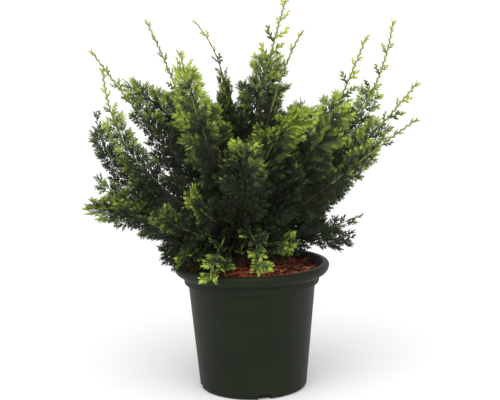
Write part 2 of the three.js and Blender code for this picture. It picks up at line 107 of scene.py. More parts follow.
# The clearance between solids, and the trunk: its foot, its tip and where the leader takes over.
GAP = 0.3 * MM
MEDIUM_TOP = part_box("growing_medium")[1].z
FOOT = Vector((-20 * MM, 0, MEDIUM_TOP + GAP))
TIP = Vector((58 * MM, 20 * MM, 591 * MM))
TRUNK_RISE = 150 * MM
TIP_PULL = 140 * MM
TIP_AZIMUTH = 20
TIP_ELEVATION = 72
FORK = 0.36
TRUNK_RADIUS = 9 * MM
FORK_RADIUS = 4.2 * MM
FLARE = 8 * MM
FLARE_HEIGHT = 9 * MM
FLARE_LOBES = 5
FLARE_LOBE_DEPTH = 0.2

# Boughs and small shoots: their girth by their length, their bare foot, how far old inner shoots stand on
# them, and how far their handles reach, as shares of their length.
GIRTH_BASE = 1.2 * MM
GIRTH_PER_LENGTH = 1 / 130
BOUGH_TAPER = 0.72
BOUGH_BARE = 0.18
SHOOT_BARE = 0.2
BOUGH_INNER_TO = 0.42
SHOOT_INNER_TO = 0.8
PULL = 0.38

# Side shoots: the angle at which they open, how much it closes along the limb and strays, how far their
# plane rolls and tilts, how their size varies, and how far they lift.
OPEN_ANGLE = 56
OPEN_CLOSING = 20
OPEN_SPREAD = 7
ROLL_SPREAD = 38
TILT_SPREAD = 25
SIZE_RANGE = (0.76, 1.09)
SHOOT_LIFT = 0.12
# The width of a limb's foliage as a share of its half width, at its foot and at its end, where it is full
# and how it narrows from there. Up to this share of whip, a limb is a fan of one width.
FIRST_SHARE = 0.6
FULL_AT = 0.3
LAST_SHARE = 0.38
NARROWING = 1.3
FAN_WHIP = 0.03
# How far side shoots may reach past the limb's tip, and the share of their reach at which they end, because
# their last spray makes up the rest.
TIP_MARGIN = 12 * MM
SHOOT_TRIM = 0.82
# A whip's width at its foot and its tip, and which side shoots of each pattern it lacks.
WHIP_SHARES = (0.42, 0.15)
WHIP_PATTERN = 4
WHIP_GAPS = (0, 3)

# Name, azimuth and reach of the tip from the trunk's foot, its height, the root's height on the trunk,
# the elevation at which the limb leaves and ends, its share of whip, half width, roll and tone.
BOUGHS = (
    ("left_high", 171, 222, 520, 68, 51, 55, 0.32, 43, 70, "mid"),
    ("left_shoulder", 163, 179.5, 468, 82, 64, 24, 0.05, 46, 74, "mid"),
    ("left_mid", -170, 197, 493, 54, 29, 88, 0.2, 36, 89, "fresh"),
    ("left_outer", 178, 213, 427, 45, 26, 84, 0.06, 31, 87, "deep"),
    ("left_low", -170, 211, 336, 34, 8, 48, 0.05, 31, 57, "mid"),
    ("left_flat", -162, 225, 296, 17, 15, 8, 0.02, 30, 31, "mid"),
    ("back_left_high", 152, 156, 565, 102, 46, 60, 0.36, 38, 81, "mid"),
    ("front_left_fan", -136, 107, 517, 79, 65, 76, 0.12, 50, 38, "bright"),
    ("centre_left_high", 158, 64, 562, 127, 71, 46, 0.36, 43, 30, "mid"),
    ("centre_right_high", -14, 103, 544, 116, 63, 59, 0.5, 44, 53, "mid"),
    ("right_high", -7, 196, 533, 76, 35, 68, 0.28, 53, 98, "fresh"),
    ("right_tall", 13, 252, 557, 67, 33, 81, 0.3, 48, 70, "mid"),
    ("right_outer", 3, 277, 464, 55, 28, 50, 0.24, 50, 70, "mid"),
    ("right_mid", -12, 272, 415, 45, 28, 35, 0.2, 34, 60, "mid"),
    ("front_right_fan", -46, 153, 430, 60, 62, 14, 0.05, 54, -16, "fresh"),
    ("front_fan", -84, 120, 388, 42, 50, 58, 0.05, 54, -9, "mid"),
    ("back_left", 127, 172, 402, 53, 44, 65, 0.06, 49, 88, "deep"),
    ("back", 91, 182, 424, 89, 61, 57, 0.06, 55, 23, "deep"),
    ("back_right", 54, 182, 427, 72, 45, 58, 0.06, 48, 60, "deep"),
    ("back_low", 99, 190, 278, 23, 17, 30, 0.05, 46, 9, "deep"),
    ("back_right_low", 34, 182, 298, 36, 27, 21, 0.05, 48, 30, "deep"),
)
SHOOTS = (
    ("back_left_low", 144, 172, 267, 24, 18, 25, 0.05, 43, 16, "deep"),
    ("right_inner", 8, 160, 308, 33, 18, 30, 0.05, 38, 50, "deep"),
    ("right_low", 1.5, 191, 263, 24, 10, 18, 0.1, 27, 40, "deep"),
    ("right_lowest", -11, 169, 232, 15, 10, -13, 0.02, 26, 33, "deep"),
    ("left_lowest", 173, 114, 209, 14, 6, -11, 0.02, 22, 60, "deep"),
    ("inner_right", -28, 106, 335, 58, 40, 54, 0.02, 42, 40, "deep"),
    ("front", -70, 98, 206, 62, 44, -78, 0.02, 15, 15, "bright"),
    ("front_left", -107, 131, 201, 32, 31, -48, 0.02, 15, 0, "bright"),
    ("front_left_high", -124, 121, 317, 63, 22, 50, 0.02, 17, 88, "fresh"),
    ("left_front", -142, 105, 211, 24, 24, -40, 0.02, 15, 40, "bright"),
    ("left_front_high", -141, 146, 289, 40, 23, 40, 0.02, 17, 60, "bright"),
    ("right_front", -39, 104, 236, 30, 20, 0, 0.02, 17, 40, "fresh"),
)
# The leader's share of whip, half width, roll and tone.
LEADER_ROW = (0.23, 62, 50, "mid")

# Shades of foliage from the darkest to the lightest, and for each tone of a limb how far along them its
# foliage lies and how much lighter it grows from its foot to its tip.
SHADES = ("deep", "dark", "mid", "fresh", "lime", "bright")
# The deep tone goes to limbs low down, inside and at the back of the crown: older foliage, and painted shade
# where they stand.
TONES = {"deep": (0.31, 0.32), "mid": (0.5, 0.48), "fresh": (0.69, 0.6), "bright": (0.66, 0.25)}
# Single limbs whose foliage is set darker or lighter than their tone says.
TONE_SHIFTS = {
    "leader": 0.08,
    "centre_left_high": 0.12,
    "front_right_fan": 0.03,
    "front_fan": -0.15,
    "left_mid": -0.07,
    "left_outer": -0.05,
    "left_low": 0.06,
    "left_flat": 0.05,
    "left_front_high": -0.08,
    "left_front": 0.1,
    "front_left": 0.1,
    "front": 0.12,
}
SHADE_SLOTS = {
    "deep": "foliage_deep",
    "dark": "foliage_deep",
    "mid": "foliage_mid",
    "fresh": "foliage_fresh",
    "lime": "foliage_bright",
    "bright": "foliage_bright",
}


# ---- What a user would change --------------------------------------------------------------------

# A setting each: a length, a colour, a plain number, an angle and a count.


def in_mm(name, description, millimetres):
    return FloatProperty(name=name, description=description, default=millimetres * MM, unit="LENGTH")


def as_colour(name, description, colour):
    return FloatVectorProperty(name=name, description=description, default=colour, subtype="COLOR")


def as_number(name, description, value):
    return FloatProperty(name=name, description=description, default=value)


def in_degrees(name, description, degrees):
    turn = math.radians(degrees)
    return FloatProperty(name=name, description=description, default=turn, subtype="ANGLE")


def as_count(name, description, number):
    return IntProperty(name=name, description=description, default=number)


class PotSettings(bpy.types.PropertyGroup):
    base_radius: in_mm("Base radius", "Outer radius at the foot", 83.4)
    foot_round: in_mm("Foot rounding", "Radius of the rounded foot", 5)
    neck_radius: in_mm("Neck radius", "Outer radius just under the collar", 98)
    neck_height: in_mm("Neck height", "Height at which the collar begins", 162.8)
    collar_radius: in_mm("Collar radius", "Outer radius of the collar under the lip", 104.4)
    collar_top: in_mm("Collar top", "Height at which the collar meets the lip", 176.9)
    lip_radius: in_mm("Lip radius", "Outer radius of the flared lip", 119.9)
    lip_widest: in_mm("Lip height", "Height at which the lip is widest", 190.6)
    lip_round: in_mm("Lip rounding", "Width of the lip's rounded top edge", 5)
    mouth_radius: in_mm("Mouth radius", "Radius of the pot's mouth", 110)
    wall: in_mm("Wall", "Thickness of the wall", 2.6)
    floor: in_mm("Floor", "Thickness of the floor", 4)
    sides: as_count("Sides", "Steps round the pot", 144)
    plastic: as_colour("Plastic", "Dark green plastic", (0.0115, 0.0152, 0.0084))


class MulchSettings(bpy.types.PropertyGroup):
    density: as_number("Density", "Shreds of a colour on each square metre", 16000)
    shred_length: in_mm("Shred length", "Length of a middling shred", 20)
    shred_width: in_mm("Shred width", "Width of a middling shred", 2.3)
    # The peat is dark of its own, and darkened further as painted shade where it shows in the drain notches.
    peat: as_colour("Peat", "Dark peat under the bark", (0.012, 0.008, 0.006))
    bed: as_colour("Bed", "Damp fine bark between the shreds", (0.03, 0.009, 0.005))
    dark: as_colour("Dark shreds", "Damp inner bark", (0.075, 0.017, 0.009))
    red: as_colour("Red shreds", "Red brown bark", (0.19, 0.042, 0.02))
    orange: as_colour("Orange shreds", "Fresh orange bark", (0.43, 0.12, 0.042))
    pale: as_colour("Pale shreds", "Pale wood", (0.6, 0.33, 0.17))


class PlantSettings(bpy.types.PropertyGroup):
    bough_shoots: as_count("Shoots on a bough", "Side shoots on each bough", 39)
    small_shoots: as_count("Shoots on a small shoot", "Side shoots on each small shoot", 22)
    spacing: in_mm("Spray spacing", "Distance from spray to spray along a side shoot", 5.6)
    longest_spray: in_mm("Longest spray", "Length of the longest spray", 24)
    bark: as_colour("Bark", "Red brown bark", (0.07, 0.03, 0.017))
    green_stem: as_colour("Green stem", "Yellow green of the young stems", (0.15, 0.2, 0.04))
    brown_stem: as_colour("Brown stem", "Brown of the woody stems", (0.035, 0.022, 0.010))
    # The deep and dark shades also take foliage in painted shade inside and low in the crown, and the lime
    # and bright shades foliage painted lighter high up and outside.
    deep: as_colour("Deep shade", "Foliage deep inside the crown", (0.017, 0.021, 0.012))
    dark: as_colour("Dark shade", "Old foliage", (0.027, 0.039, 0.019))
    mid: as_colour("Middle shade", "Grown foliage", (0.062, 0.091, 0.027))
    fresh: as_colour("Fresh shade", "This year's foliage", (0.141, 0.202, 0.034))
    lime: as_colour("Lime shade", "Young tips", (0.29, 0.362, 0.053))
    bright: as_colour("Bright shade", "The youngest, sunlit tips", (0.39, 0.5, 0.068))


class StageSettings(bpy.types.PropertyGroup):
    distance: in_mm("Distance", "Distance of the camera in front of the pot's axis", 1650)
    height: in_mm("Height", "Height of the camera", 545.1)
    sideways: in_mm("Sideways", "Place of the camera to the right of the pot's axis", -0.6)
    pitch: in_degrees("Pitch", "Downward tilt of the camera", 8.75)
    roll: in_degrees("Roll", "Turn of the camera about its line of sight", -1.01)
    lens: as_number("Lens", "Focal length on a 36 mm sensor", 78.44)
    floor: as_colour("Floor", "Pale floor", (0.95, 0.95, 0.95))
    horizon: as_number("Horizon", "Strength of the white light near the horizon", 1.15)
    zenith: as_number("Zenith", "Strength of the white light from above", 0.42)
    key: as_number("Key", "Strength of the soft key light", 2.4)


# ---- Curves and the growth rule ------------------------------------------------------------------

# Steps by which a curve's length is summed, and halvings that find a height on the trunk.
LENGTH_STEPS = 40
HALVINGS = 30
# The generator that deals out the twigs: its factor and modulus, and the first values that it passes over.
FACTOR = 48271
MODULUS = 2147483647
PASSED_OVER = 3


class Draw:
    """A multiplying generator: the same name gives the same twigs everywhere."""

    def __init__(self, name):
        self.state = sum(ord(letter) for letter in name) * 7 + 1
        for _ in range(PASSED_OVER):
            self.between(0, 1)

    def between(self, low, high):
        self.state = self.state * FACTOR % MODULUS
        return low + (high - low) * self.state / MODULUS


class Curve:
    """A cubic curve from a root to a tip, with its two handles."""

    def __init__(self, root, root_handle, tip_handle, tip):
        self.knots = (root, root_handle, tip_handle, tip)
        steps = [self.point(step / LENGTH_STEPS) for step in range(LENGTH_STEPS + 1)]
        self.length = sum((after - before).length for before, after in zip(steps, steps[1:]))

    def point(self, share):
        root, root_handle, tip_handle, tip = self.knots
        rest = 1 - share
        return (rest**3 * root + 3 * rest * rest * share * root_handle
                + 3 * rest * share * share * tip_handle + share**3 * tip)

    def tangent(self, share):
        root, root_handle, tip_handle, tip = self.knots
        rest = 1 - share
        slope = (rest * rest * (root_handle - root) + 2 * rest * share * (tip_handle - root_handle)
                 + share * share * (tip - tip_handle))
        return slope.normalized()


@dataclass
class Limb:
    """A bough, a small shoot or the leader, from its root to the tip of its foliage.

    Up to the share bare of its axis it has no side shoots, from the share start on it has a stem, which is
    as stout there as radius says, and up to the share inner_to it has old inner shoots.
    """

    name: str
    axis: Curve
    azimuth: float
    whip: float
    spread: float
    roll: float
    tone: str
    bare: float
    start: float
    radius: float
    shoots: int
    inner_to: float


@dataclass
class Shoot:
    """A side shoot on a limb: a straight axis in the plane of its flat foliage."""

    root: Vector
    direction: Vector
    normal: Vector
    length: float
    share: float
    in_whip: bool


@dataclass
class Spray:
    """One flat spray of scale leaves. It may be part of a whip, and may stand alone on its shoot."""

    root: Vector
    direction: Vector
    normal: Vector
    length: float
    tone: float
    in_whip: bool = False
    alone: bool = False


def lerp(low, high, share):
    return low + (high - low) * share


def heading(azimuth, elevation):
    level = math.cos(math.radians(elevation))
    turn = math.radians(azimuth)
    return Vector((level * math.cos(turn), level * math.sin(turn), math.sin(math.radians(elevation))))


TIP_HANDLE = TIP - TIP_PULL * heading(TIP_AZIMUTH, TIP_ELEVATION)
TRUNK_AXIS = Curve(FOOT, FOOT + Vector((0, 0, TRUNK_RISE)), TIP_HANDLE, TIP)


def trunk_point(height):
    """The point of the trunk's axis at a height above its foot, by halving."""
    low, high = 0, 1
    for _ in range(HALVINGS):
        middle = (low + high) / 2
        if TRUNK_AXIS.point(middle).z - FOOT.z < height:
            low = middle
        else:
            high = middle
    return TRUNK_AXIS.point(low)


def limb_axis(azimuth, reach, top, root, leave, finish):
    start = trunk_point(root * MM)
    end = FOOT + heading(azimuth, 0) * reach * MM
    end.z = top * MM
    pull = PULL * (end - start).length
    root_handle = start + heading(azimuth, leave) * pull
    return Curve(start, root_handle, end - heading(azimuth, finish) * pull, end)


def plane_of(tangent, azimuth, roll):
    """The direction across a limb's foliage and the normal of its plane, level where the roll is 0."""
    side = heading(azimuth - 90, 0)
    side = (side - tangent * side.dot(tangent)).normalized()
    side.rotate(Quaternion(tangent, math.radians(roll)))
    return side, side.cross(tangent)


def envelope(share, whip, whip_start):
    """How wide the foliage is along its stem: it swells, narrows and ends in a whip, but for a fan."""
    if whip <= FAN_WHIP:
        return 1
    if share > whip_start:
        return lerp(*WHIP_SHARES, (share - whip_start) / (1 - whip_start))
    along = share / whip_start
    if along < FULL_AT:
        return lerp(FIRST_SHARE, 1, along / FULL_AT)
    return lerp(1, LAST_SHARE, ((along - FULL_AT) / (1 - FULL_AT)) ** NARROWING)


def all_limbs(plant):
    """The leader, the boughs and the small shoots, with the names of the solids."""
    leader = (*LEADER_ROW, FORK, FORK, FORK_RADIUS, plant.bough_shoots, FORK)
    limbs = [Limb("leader", TRUNK_AXIS, TIP_AZIMUTH, *leader)]
    kinds = (
        (BOUGHS, BOUGH_BARE, plant.bough_shoots, BOUGH_INNER_TO),
        (SHOOTS, SHOOT_BARE, plant.small_shoots, SHOOT_INNER_TO),
    )
    for rows, bare, shoots, inner_to in kinds:
        for name, azimuth, reach, top, root, leave, finish, whip, spread, roll, tone in rows:
            axis = limb_axis(azimuth, reach, top, root, leave, finish)
            girth = GIRTH_BASE + GIRTH_PER_LENGTH * axis.length
            start, radius = (bare, BOUGH_TAPER * girth) if rows is BOUGHS else (0, girth)
            foliage = (whip, spread, roll, tone)
            limbs.append(Limb(name, axis, azimuth, *foliage, bare, start, radius, shoots, inner_to))
    return limbs


def side_shoots(limb):
    """Alternate side shoots from the limb's bare foot to its tip, by the solids' rule."""
    draw = Draw(limb.name)
    whip_start = (1 - limb.whip - limb.bare) / (1 - limb.bare)
    for index in range(limb.shoots):
        share = (index + 0.5) / limb.shoots
        if share > whip_start and index % WHIP_PATTERN in WHIP_GAPS:
            continue
        at = lerp(limb.bare, 1, share)
        tangent = limb.axis.tangent(at)
        roll = limb.roll + draw.between(-ROLL_SPREAD, ROLL_SPREAD)
        opening = OPEN_ANGLE - OPEN_CLOSING * share + draw.between(-OPEN_SPREAD, OPEN_SPREAD)
        size = draw.between(*SIZE_RANGE)
        tilt = math.radians(draw.between(-TILT_SPREAD, TILT_SPREAD))
        side, _ = plane_of(tangent, limb.azimuth, roll)
        hand = -1 if index % 2 else 1
        opened = math.radians(opening)
        direction = tangent * math.cos(opened) + side * (hand * math.sin(opened))
        direction = (direction + Vector((0, 0, SHOOT_LIFT))).normalized()
        normal = direction.cross(tangent).normalized()
        normal.rotate(Quaternion(direction, tilt))
        reach = limb.spread * MM * envelope(share, limb.whip, whip_start) * size
        rest = (1 - at) * limb.axis.length + TIP_MARGIN
        length = SHOOT_TRIM * min(reach / math.sin(opened), rest / math.cos(opened))
        yield Shoot(limb.axis.point(at), direction, normal, length, share, share > whip_start)


# ---- Sprays on the side shoots -------------------------------------------------------------------

# Sprays on a side shoot: where in its step each stands, how far they turn from it, stray and tilt, and their
# length near its tip and by the rest of it. A shoot shorter than SHORT_SHOOT carries a single spray.
SHORT_SHOOT = 17 * MM
SPRAY_PLACE = 0.7
SPRAY_FORWARD = 43
SPRAY_TURN = 9
SPRAY_TILT = 22
SPRAY_NEAR = 9 * MM
SPRAY_TAPER = 0.42
SPRAY_SIZES = (0.82, 1.15)
SINGLE_SIZES = (0.85, 1.1)
SHOOT_SAG = 0.1
# The spray at a shoot's or a limb's tip, and how far back from the tip it starts.
LAST_SPRAY = 19 * MM
LAST_SIZES = (0.85, 1.2)
LAST_BACK = 0.6
LIMB_BACK = 0.8
# Whips: the spray at their tip, and small sprays pressed to them, with their distance, angle and length.
WHIP_TIP = 10 * MM
WHIP_STEP = 4.5 * MM
WHIP_CLOSE = 24
WHIP_LEAF = 8 * MM

# Old shoots all round the limbs' feet and the trunk. The lowest on the trunk spread like a skirt, and
# drape over the pot's rim towards one side.
INNER_FROM = 0.05
INNER_TURN = 137.5
INNER_STRAY = 20
INNER_OPENING = (48, 68)
INNER_LENGTH = (30 * MM, 52 * MM)
INNER_SPREAD = 1.9
TRUNK_INNER = 60
LIMB_INNER = 10
FOOT_CROWDING = 2.2
SKIRT_OPENING = 104
SKIRT_LENGTHENING = 1.5
DRAPE_TOWARDS = -115
DRAPE_RISE = 20
DRAPE_LENGTHENING = 1.7
# No old shoots hang over the mulch on this side, further out and lower than this.
BARE_TOWARDS = -18
BARE_FROM = 12 * MM
BARE_BELOW = 238 * MM

# The crown's middle and half widths, by which foliage is lighter outside than inside, as inner foliage is
# older and in painted shade, and its foot and height, by which it is lighter high up, as painted light from
# above.
CROWN_MIDDLE = Vector((-40 * MM, 0, 330 * MM))
CROWN_REACH = (285 * MM, 140 * MM, 270 * MM)
CROWN_FOOT = 200 * MM
CROWN_HEIGHT = 400 * MM
# How much lighter foliage is painted with its height, as painted light from above, and outwards, as older
# growth and painted shade inside, and the share of a limb, the height and the distance at which it has its
# limb's own tone.
HEIGHT_PAINTED_LIGHT = 0.65
OUTWARD_AGE_AND_SHADE = 0.55
OWN_SHARE = 0.6
OWN_HEIGHT = 0.5
OWN_OUTSIDE = 0.75
# Further steps of tone: along a side shoot, at its tip, on a whip, for all sprays and at random.
SHOOT_TONE = 0.4
TIP_TONE = 0.14
WHIP_TONE = -0.22
TONE_LIFT = 0.06
TONE_SPREAD = 0.2

# Sprays whose tips come closer to the pot than this are left out: above its rim, round its lip and inside
# its mouth. Over the mulch they may hang down by its depth under the rim.
ABOVE_RIM = 3 * MM
ROUND_LIP = 2 * MM
INSIDE_MOUTH = 4 * MM
MULCH_DEPTH = 10 * MM


def inner_shoots(limb):
    """Short old shoots round a limb's foot, or round the trunk, where the lowest spread over the pot."""
    draw = Draw("inner " + limb.name)
    on_trunk = limb.name == "leader"
    count, crowding = (TRUNK_INNER, FOOT_CROWDING) if on_trunk else (LIMB_INNER, 1)
    for index in range(count):
        at = lerp(INNER_FROM, limb.inner_to, ((index + 0.5) / count) ** crowding)
        tangent = limb.axis.tangent(at)
        roll = INNER_TURN * index + draw.between(-INNER_STRAY, INNER_STRAY)
        side, _ = plane_of(tangent, limb.azimuth, roll)
        opened = math.radians(draw.between(*INNER_OPENING))
        length = min(draw.between(*INNER_LENGTH), INNER_SPREAD * limb.spread * MM)
        if on_trunk:
            drape = max(0, side.dot(heading(DRAPE_TOWARDS, 0)))
            opened = lerp(math.radians(SKIRT_OPENING - DRAPE_RISE * drape), opened, (index / count) ** 2)
            length *= lerp(SKIRT_LENGTHENING + DRAPE_LENGTHENING * drape, 1, index / count)
        direction = (tangent * math.cos(opened) + side * math.sin(opened)).normalized()
        normal = direction.cross(tangent).normalized()
        shoot = Shoot(limb.axis.point(at), direction, normal, length, 0, False)
        tip = shoot_point(shoot, 1)
        if tip.z > BARE_BELOW or tip.dot(heading(BARE_TOWARDS, 0)) < BARE_FROM:
            yield shoot


def shoots_of(limb):
    return [*inner_shoots(limb), *side_shoots(limb)]


def shoot_point(shoot, share):
    """A side shoot sags a little towards its tip."""
    sag = SHOOT_SAG * shoot.length * share * share
    return shoot.root + shoot.direction * (shoot.length * share) - Vector((0, 0, sag))


def clears_the_pot(point, pot_top, mouth, lip):
    """A point is clear of the pot where it lies above the rim, or over the mulch inside the mouth."""
    out = math.hypot(point.x, point.y)
    if point.z > pot_top + ABOVE_RIM or out > lip + ROUND_LIP:
        return True
    return out < mouth - INSIDE_MOUTH and point.z > pot_top - MULCH_DEPTH


def tone_at(limb, share, point):
    """How far along the shades foliage lies: further towards a limb's tip, as young growth is lighter, high
    up, as painted light from above, and far out, away from the older foliage and painted shade inside.
    """
    base, growth = TONES[limb.tone]
    base += TONE_SHIFTS.get(limb.name, 0)
    high = (point.z - CROWN_FOOT) / CROWN_HEIGHT
    away = point - CROWN_MIDDLE
    outside = math.hypot(*(part / reach for part, reach in zip(away, CROWN_REACH)))
    return (base + growth * (share - OWN_SHARE) + HEIGHT_PAINTED_LIGHT * (high - OWN_HEIGHT)
            + OUTWARD_AGE_AND_SHADE * (outside - OWN_OUTSIDE))


def sprays_on(limb, shoot, draw, plant):
    """Sprays on both sides of a side shoot in turn and one at its tip, or one alone on a short shoot."""
    tone = tone_at(limb, shoot.share, shoot.root) + (WHIP_TONE if shoot.in_whip else 0)
    if shoot.in_whip or shoot.length < SHORT_SHOOT:
        length = shoot.length / SHOOT_TRIM * draw.between(*SINGLE_SIZES)
        yield Spray(shoot.root, shoot.direction, shoot.normal, length, tone, shoot.in_whip, True)
        return
    across = shoot.normal.cross(shoot.direction)
    steps = max(2, round(shoot.length / plant.spacing))
    for step in range(2 * steps):
        hand = -1 if step % 2 else 1
        share = (step + SPRAY_PLACE) / (2 * steps + 1)
        turn = math.radians(SPRAY_FORWARD + draw.between(-SPRAY_TURN, SPRAY_TURN))
        direction = shoot.direction * math.cos(turn) + across * (hand * math.sin(turn))
        normal = shoot.normal.copy()
        normal.rotate(Quaternion(direction, math.radians(draw.between(-SPRAY_TILT, SPRAY_TILT))))
        length = min(plant.longest_spray, SPRAY_TAPER * shoot.length * (1 - share) + SPRAY_NEAR)
        length *= draw.between(*SPRAY_SIZES)
        tint = tone + SHOOT_TONE * (share - 0.5)
        yield Spray(shoot_point(shoot, share), direction, normal, length, tint)
    tip_size = LAST_SPRAY * draw.between(*LAST_SIZES)
    root = shoot_point(shoot, 1) - shoot.direction * (LAST_BACK * tip_size)
    yield Spray(root, shoot.direction, shoot.normal, tip_size, tone + TIP_TONE)


def last_spray(limb):
    """The spray at a limb's tip, small on a whip."""
    tangent = limb.axis.tangent(1)
    _, normal = plane_of(tangent, limb.azimuth, limb.roll)
    in_whip = limb.whip > FAN_WHIP
    length = WHIP_TIP if in_whip else LAST_SPRAY
    root = limb.axis.point(1) - tangent * (LIMB_BACK * length)
    return Spray(root, tangent, normal, length, tone_at(limb, 1, root), in_whip, True)


def whip_sprays(limb):
    """Small sprays pressed to a limb's free whip, one on each side in turn."""
    free = limb.whip * limb.axis.length if limb.whip > FAN_WHIP else 0
    for index in range(int(free / WHIP_STEP)):
        at = 1 - (index + 0.5) * WHIP_STEP / limb.axis.length
        tangent = limb.axis.tangent(at)
        side, normal = plane_of(tangent, limb.azimuth, limb.roll)
        opened = math.radians(WHIP_CLOSE if index % 2 else -WHIP_CLOSE)
        direction = tangent * math.cos(opened) + side * math.sin(opened)
        root = limb.axis.point(at)
        yield Spray(root, direction, normal, WHIP_LEAF, tone_at(limb, at, root) + WHIP_TONE, True, True)


def all_sprays(plant, pot):
    """Every spray of the crown, each with the index of its shade."""
    pot_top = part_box("pot")[1].z
    for limb in all_limbs(plant):
        draw = Draw("sprays of " + limb.name)
        sprays = [spray for shoot in shoots_of(limb) for spray in sprays_on(limb, shoot, draw, plant)]
        for spray in (*sprays, *whip_sprays(limb), last_spray(limb)):
            tip = spray.root + spray.direction * spray.length
            tone = spray.tone + draw.between(-TONE_SPREAD, TONE_SPREAD) + TONE_LIFT
            if clears_the_pot(tip, pot_top, pot.mouth_radius, pot.lip_radius):
                yield spray, max(0, min(len(SHADES) - 2, int(tone * (len(SHADES) - 1))))


# ---- Meshes, pieces and node trees ---------------------------------------------------------------


def new_object(name, content):
    shown = bpy.data.objects.new(name, content)
    bpy.context.scene.collection.objects.link(shown)
    return shown


def new_piece(name, mesh, finish, slot, nodes):
    """A finished piece, which rides on the plant's one body and hides the solids that it replaces."""
    shown = new_object(name, mesh)
    mesh.materials.clear()
    mesh.materials.append(finish)
    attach(shown, BODY)
    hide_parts(*nodes)


def nodes_named(start):
    return [node for node in frame["nodes"] if node.startswith(start)]


def mesh_of(name, points, faces=(), edges=()):
    mesh = bpy.data.meshes.new(name)
    mesh.from_pydata([tuple(point) for point in points], list(edges), list(faces))
    mesh.update()
    return mesh


def finished_mesh(name, work):
    """A new mesh of what was made in a bmesh, which ends with it."""
    mesh = bpy.data.meshes.new(name)
    work.to_mesh(mesh)
    work.free()
    return mesh


def shaped_mesh(shown):
    """A plain mesh of an object as its modifiers shape it."""
    depsgraph = bpy.context.evaluated_depsgraph_get()
    return bpy.data.meshes.new_from_object(shown.evaluated_get(depsgraph))


def smooth(mesh, sharp_from):
    mesh.shade_smooth()
    mesh.set_sharp_from_angle(angle=math.radians(sharp_from))


def store(mesh, name, kind, values):
    """Stores a value on each point of a mesh."""
    mesh.attributes.new(name, kind, "POINT").data.foreach_set("value", values)


def add(tree, kind, inputs=None, **settings):
    """A new node with its settings. Each input takes a value or a link from another node's output."""
    node = tree.nodes.new(kind)
    for name, value in settings.items():
        setattr(node, name, value)
    for name, value in (inputs or {}).items():
        if isinstance(value, bpy.types.NodeSocket):
            tree.links.new(value, node.inputs[name])
        else:
            node.inputs[name].default_value = value
    return node


def new_tree(name, **inputs):
    """A geometry node tree and what it is given: a mesh, its named inputs and a finish."""
    tree = bpy.data.node_groups.new(name, "GeometryNodeTree")
    tree.interface.new_socket("Geometry", in_out="OUTPUT", socket_type="NodeSocketGeometry")
    for label, kind in {"Geometry": "Geometry", **inputs, "Finish": "Material"}.items():
        tree.interface.new_socket(label, in_out="INPUT", socket_type="NodeSocket" + kind)
    return tree, tree.nodes.new("NodeGroupInput").outputs


def end_tree(tree, geometry, given):
    """Ends a tree in Realize Instances and Set Material."""
    whole = add(tree, "GeometryNodeRealizeInstances", {"Geometry": geometry}).outputs["Geometry"]
    finish = add(tree, "GeometryNodeSetMaterial", {"Geometry": whole, "Material": given["Finish"]})
    add(tree, "NodeGroupOutput", {"Geometry": finish.outputs["Geometry"]})


def stored(tree, name, kind):
    """What a mesh stores on its points under a name."""
    node = add(tree, "GeometryNodeInputNamedAttribute", {"Name": name}, data_type=kind)
    return node.outputs["Attribute"]


def place_shapes(tree, given, shapes, points, placing):
    """Puts one of a collection's shapes on each point, as the placing says, and ends the tree."""
    whole = {"Collection": shapes, "Separate Children": True, "Reset Children": True}
    single = add(tree, "GeometryNodeCollectionInfo", whole).outputs["Instances"]
    inputs = {"Points": points, "Instance": single, "Pick Instance": True, **placing}
    end_tree(tree, add(tree, "GeometryNodeInstanceOnPoints", inputs).outputs["Instances"], given)


def grown(name, mesh, tree, **values):
    """The plain mesh that a tree grows on another mesh from the values of its named inputs."""
    carrier = new_object(name + "_carrier", mesh)
    modifier = carrier.modifiers.new("Grow", "NODES")
    modifier.node_group = tree
    for socket in tree.interface.items_tree:
        if socket.in_out == "INPUT" and socket.name in values:
            modifier[socket.identifier] = values[socket.name]
    result = shaped_mesh(carrier)
    result.name = name
    carrier.modifiers.remove(modifier)
    bpy.data.objects.remove(carrier)
    return result


def shape_collection(name, meshes):
    shapes = bpy.data.collections.new(name)
    bpy.context.scene.collection.children.link(shapes)
    for index, mesh in enumerate(meshes):
        shapes.objects.link(bpy.data.objects.new(f"{name}_{index}", mesh))
    return shapes


def drop_collection(shapes):
    for shape in list(shapes.objects):
        bpy.data.objects.remove(shape)
    bpy.data.collections.remove(shapes)


# ---- Finishes ------------------------------------------------------------------------------------


@dataclass
class Grain:
    """The grain of a finish: a noise, which deals out its tones, its gloss and its relief.

    Tones are places on the noise with a factor on the finish's colour, and strips are places with a colour
    of their own. Dulling is the roughness where the noise is low and where it is high. The relief follows
    the same noise, or a finer one with a scale, detail and stretch of its own.
    """

    scale: float
    detail: float
    tones: tuple
    roughness: float
    specular: float
    relief: float
    depth: float
    stretch: tuple = (1, 1, 1)
    source: str = "Object"
    strips: tuple = ()
    dulling: tuple = ()
    finer: tuple = ()


# Moulded satin plastic: wide patches that are a little duller and paler with dust, over a fine grain.
PLASTIC = Grain(
    scale=9,
    detail=3,
    tones=((0.3, 0.88), (0.72, 1.25)),
    roughness=0.46,
    specular=0.08,
    relief=0.25,
    depth=0.2 * MM,
    stretch=(1, 1, 2.2),
    dulling=(0.4, 0.56),
    finer=(900, 2, (1, 1, 1)),
)
# Stringy bark: long dark, red and grey strips that run with the limb, over a fibrous grain.
BARK = Grain(
    scale=60,
    detail=5,
    tones=((0.32, 0.35), (0.5, 1)),
    roughness=0.88,
    specular=0.3,
    relief=0.7,
    depth=0.6 * MM,
    stretch=(1, 0.12, 1),
    source="UV",
    strips=((0.68, (0.24, 0.15, 0.1)),),
    dulling=(0.95, 0.75),
    finer=(240, 4, (1, 0.08, 1)),
)
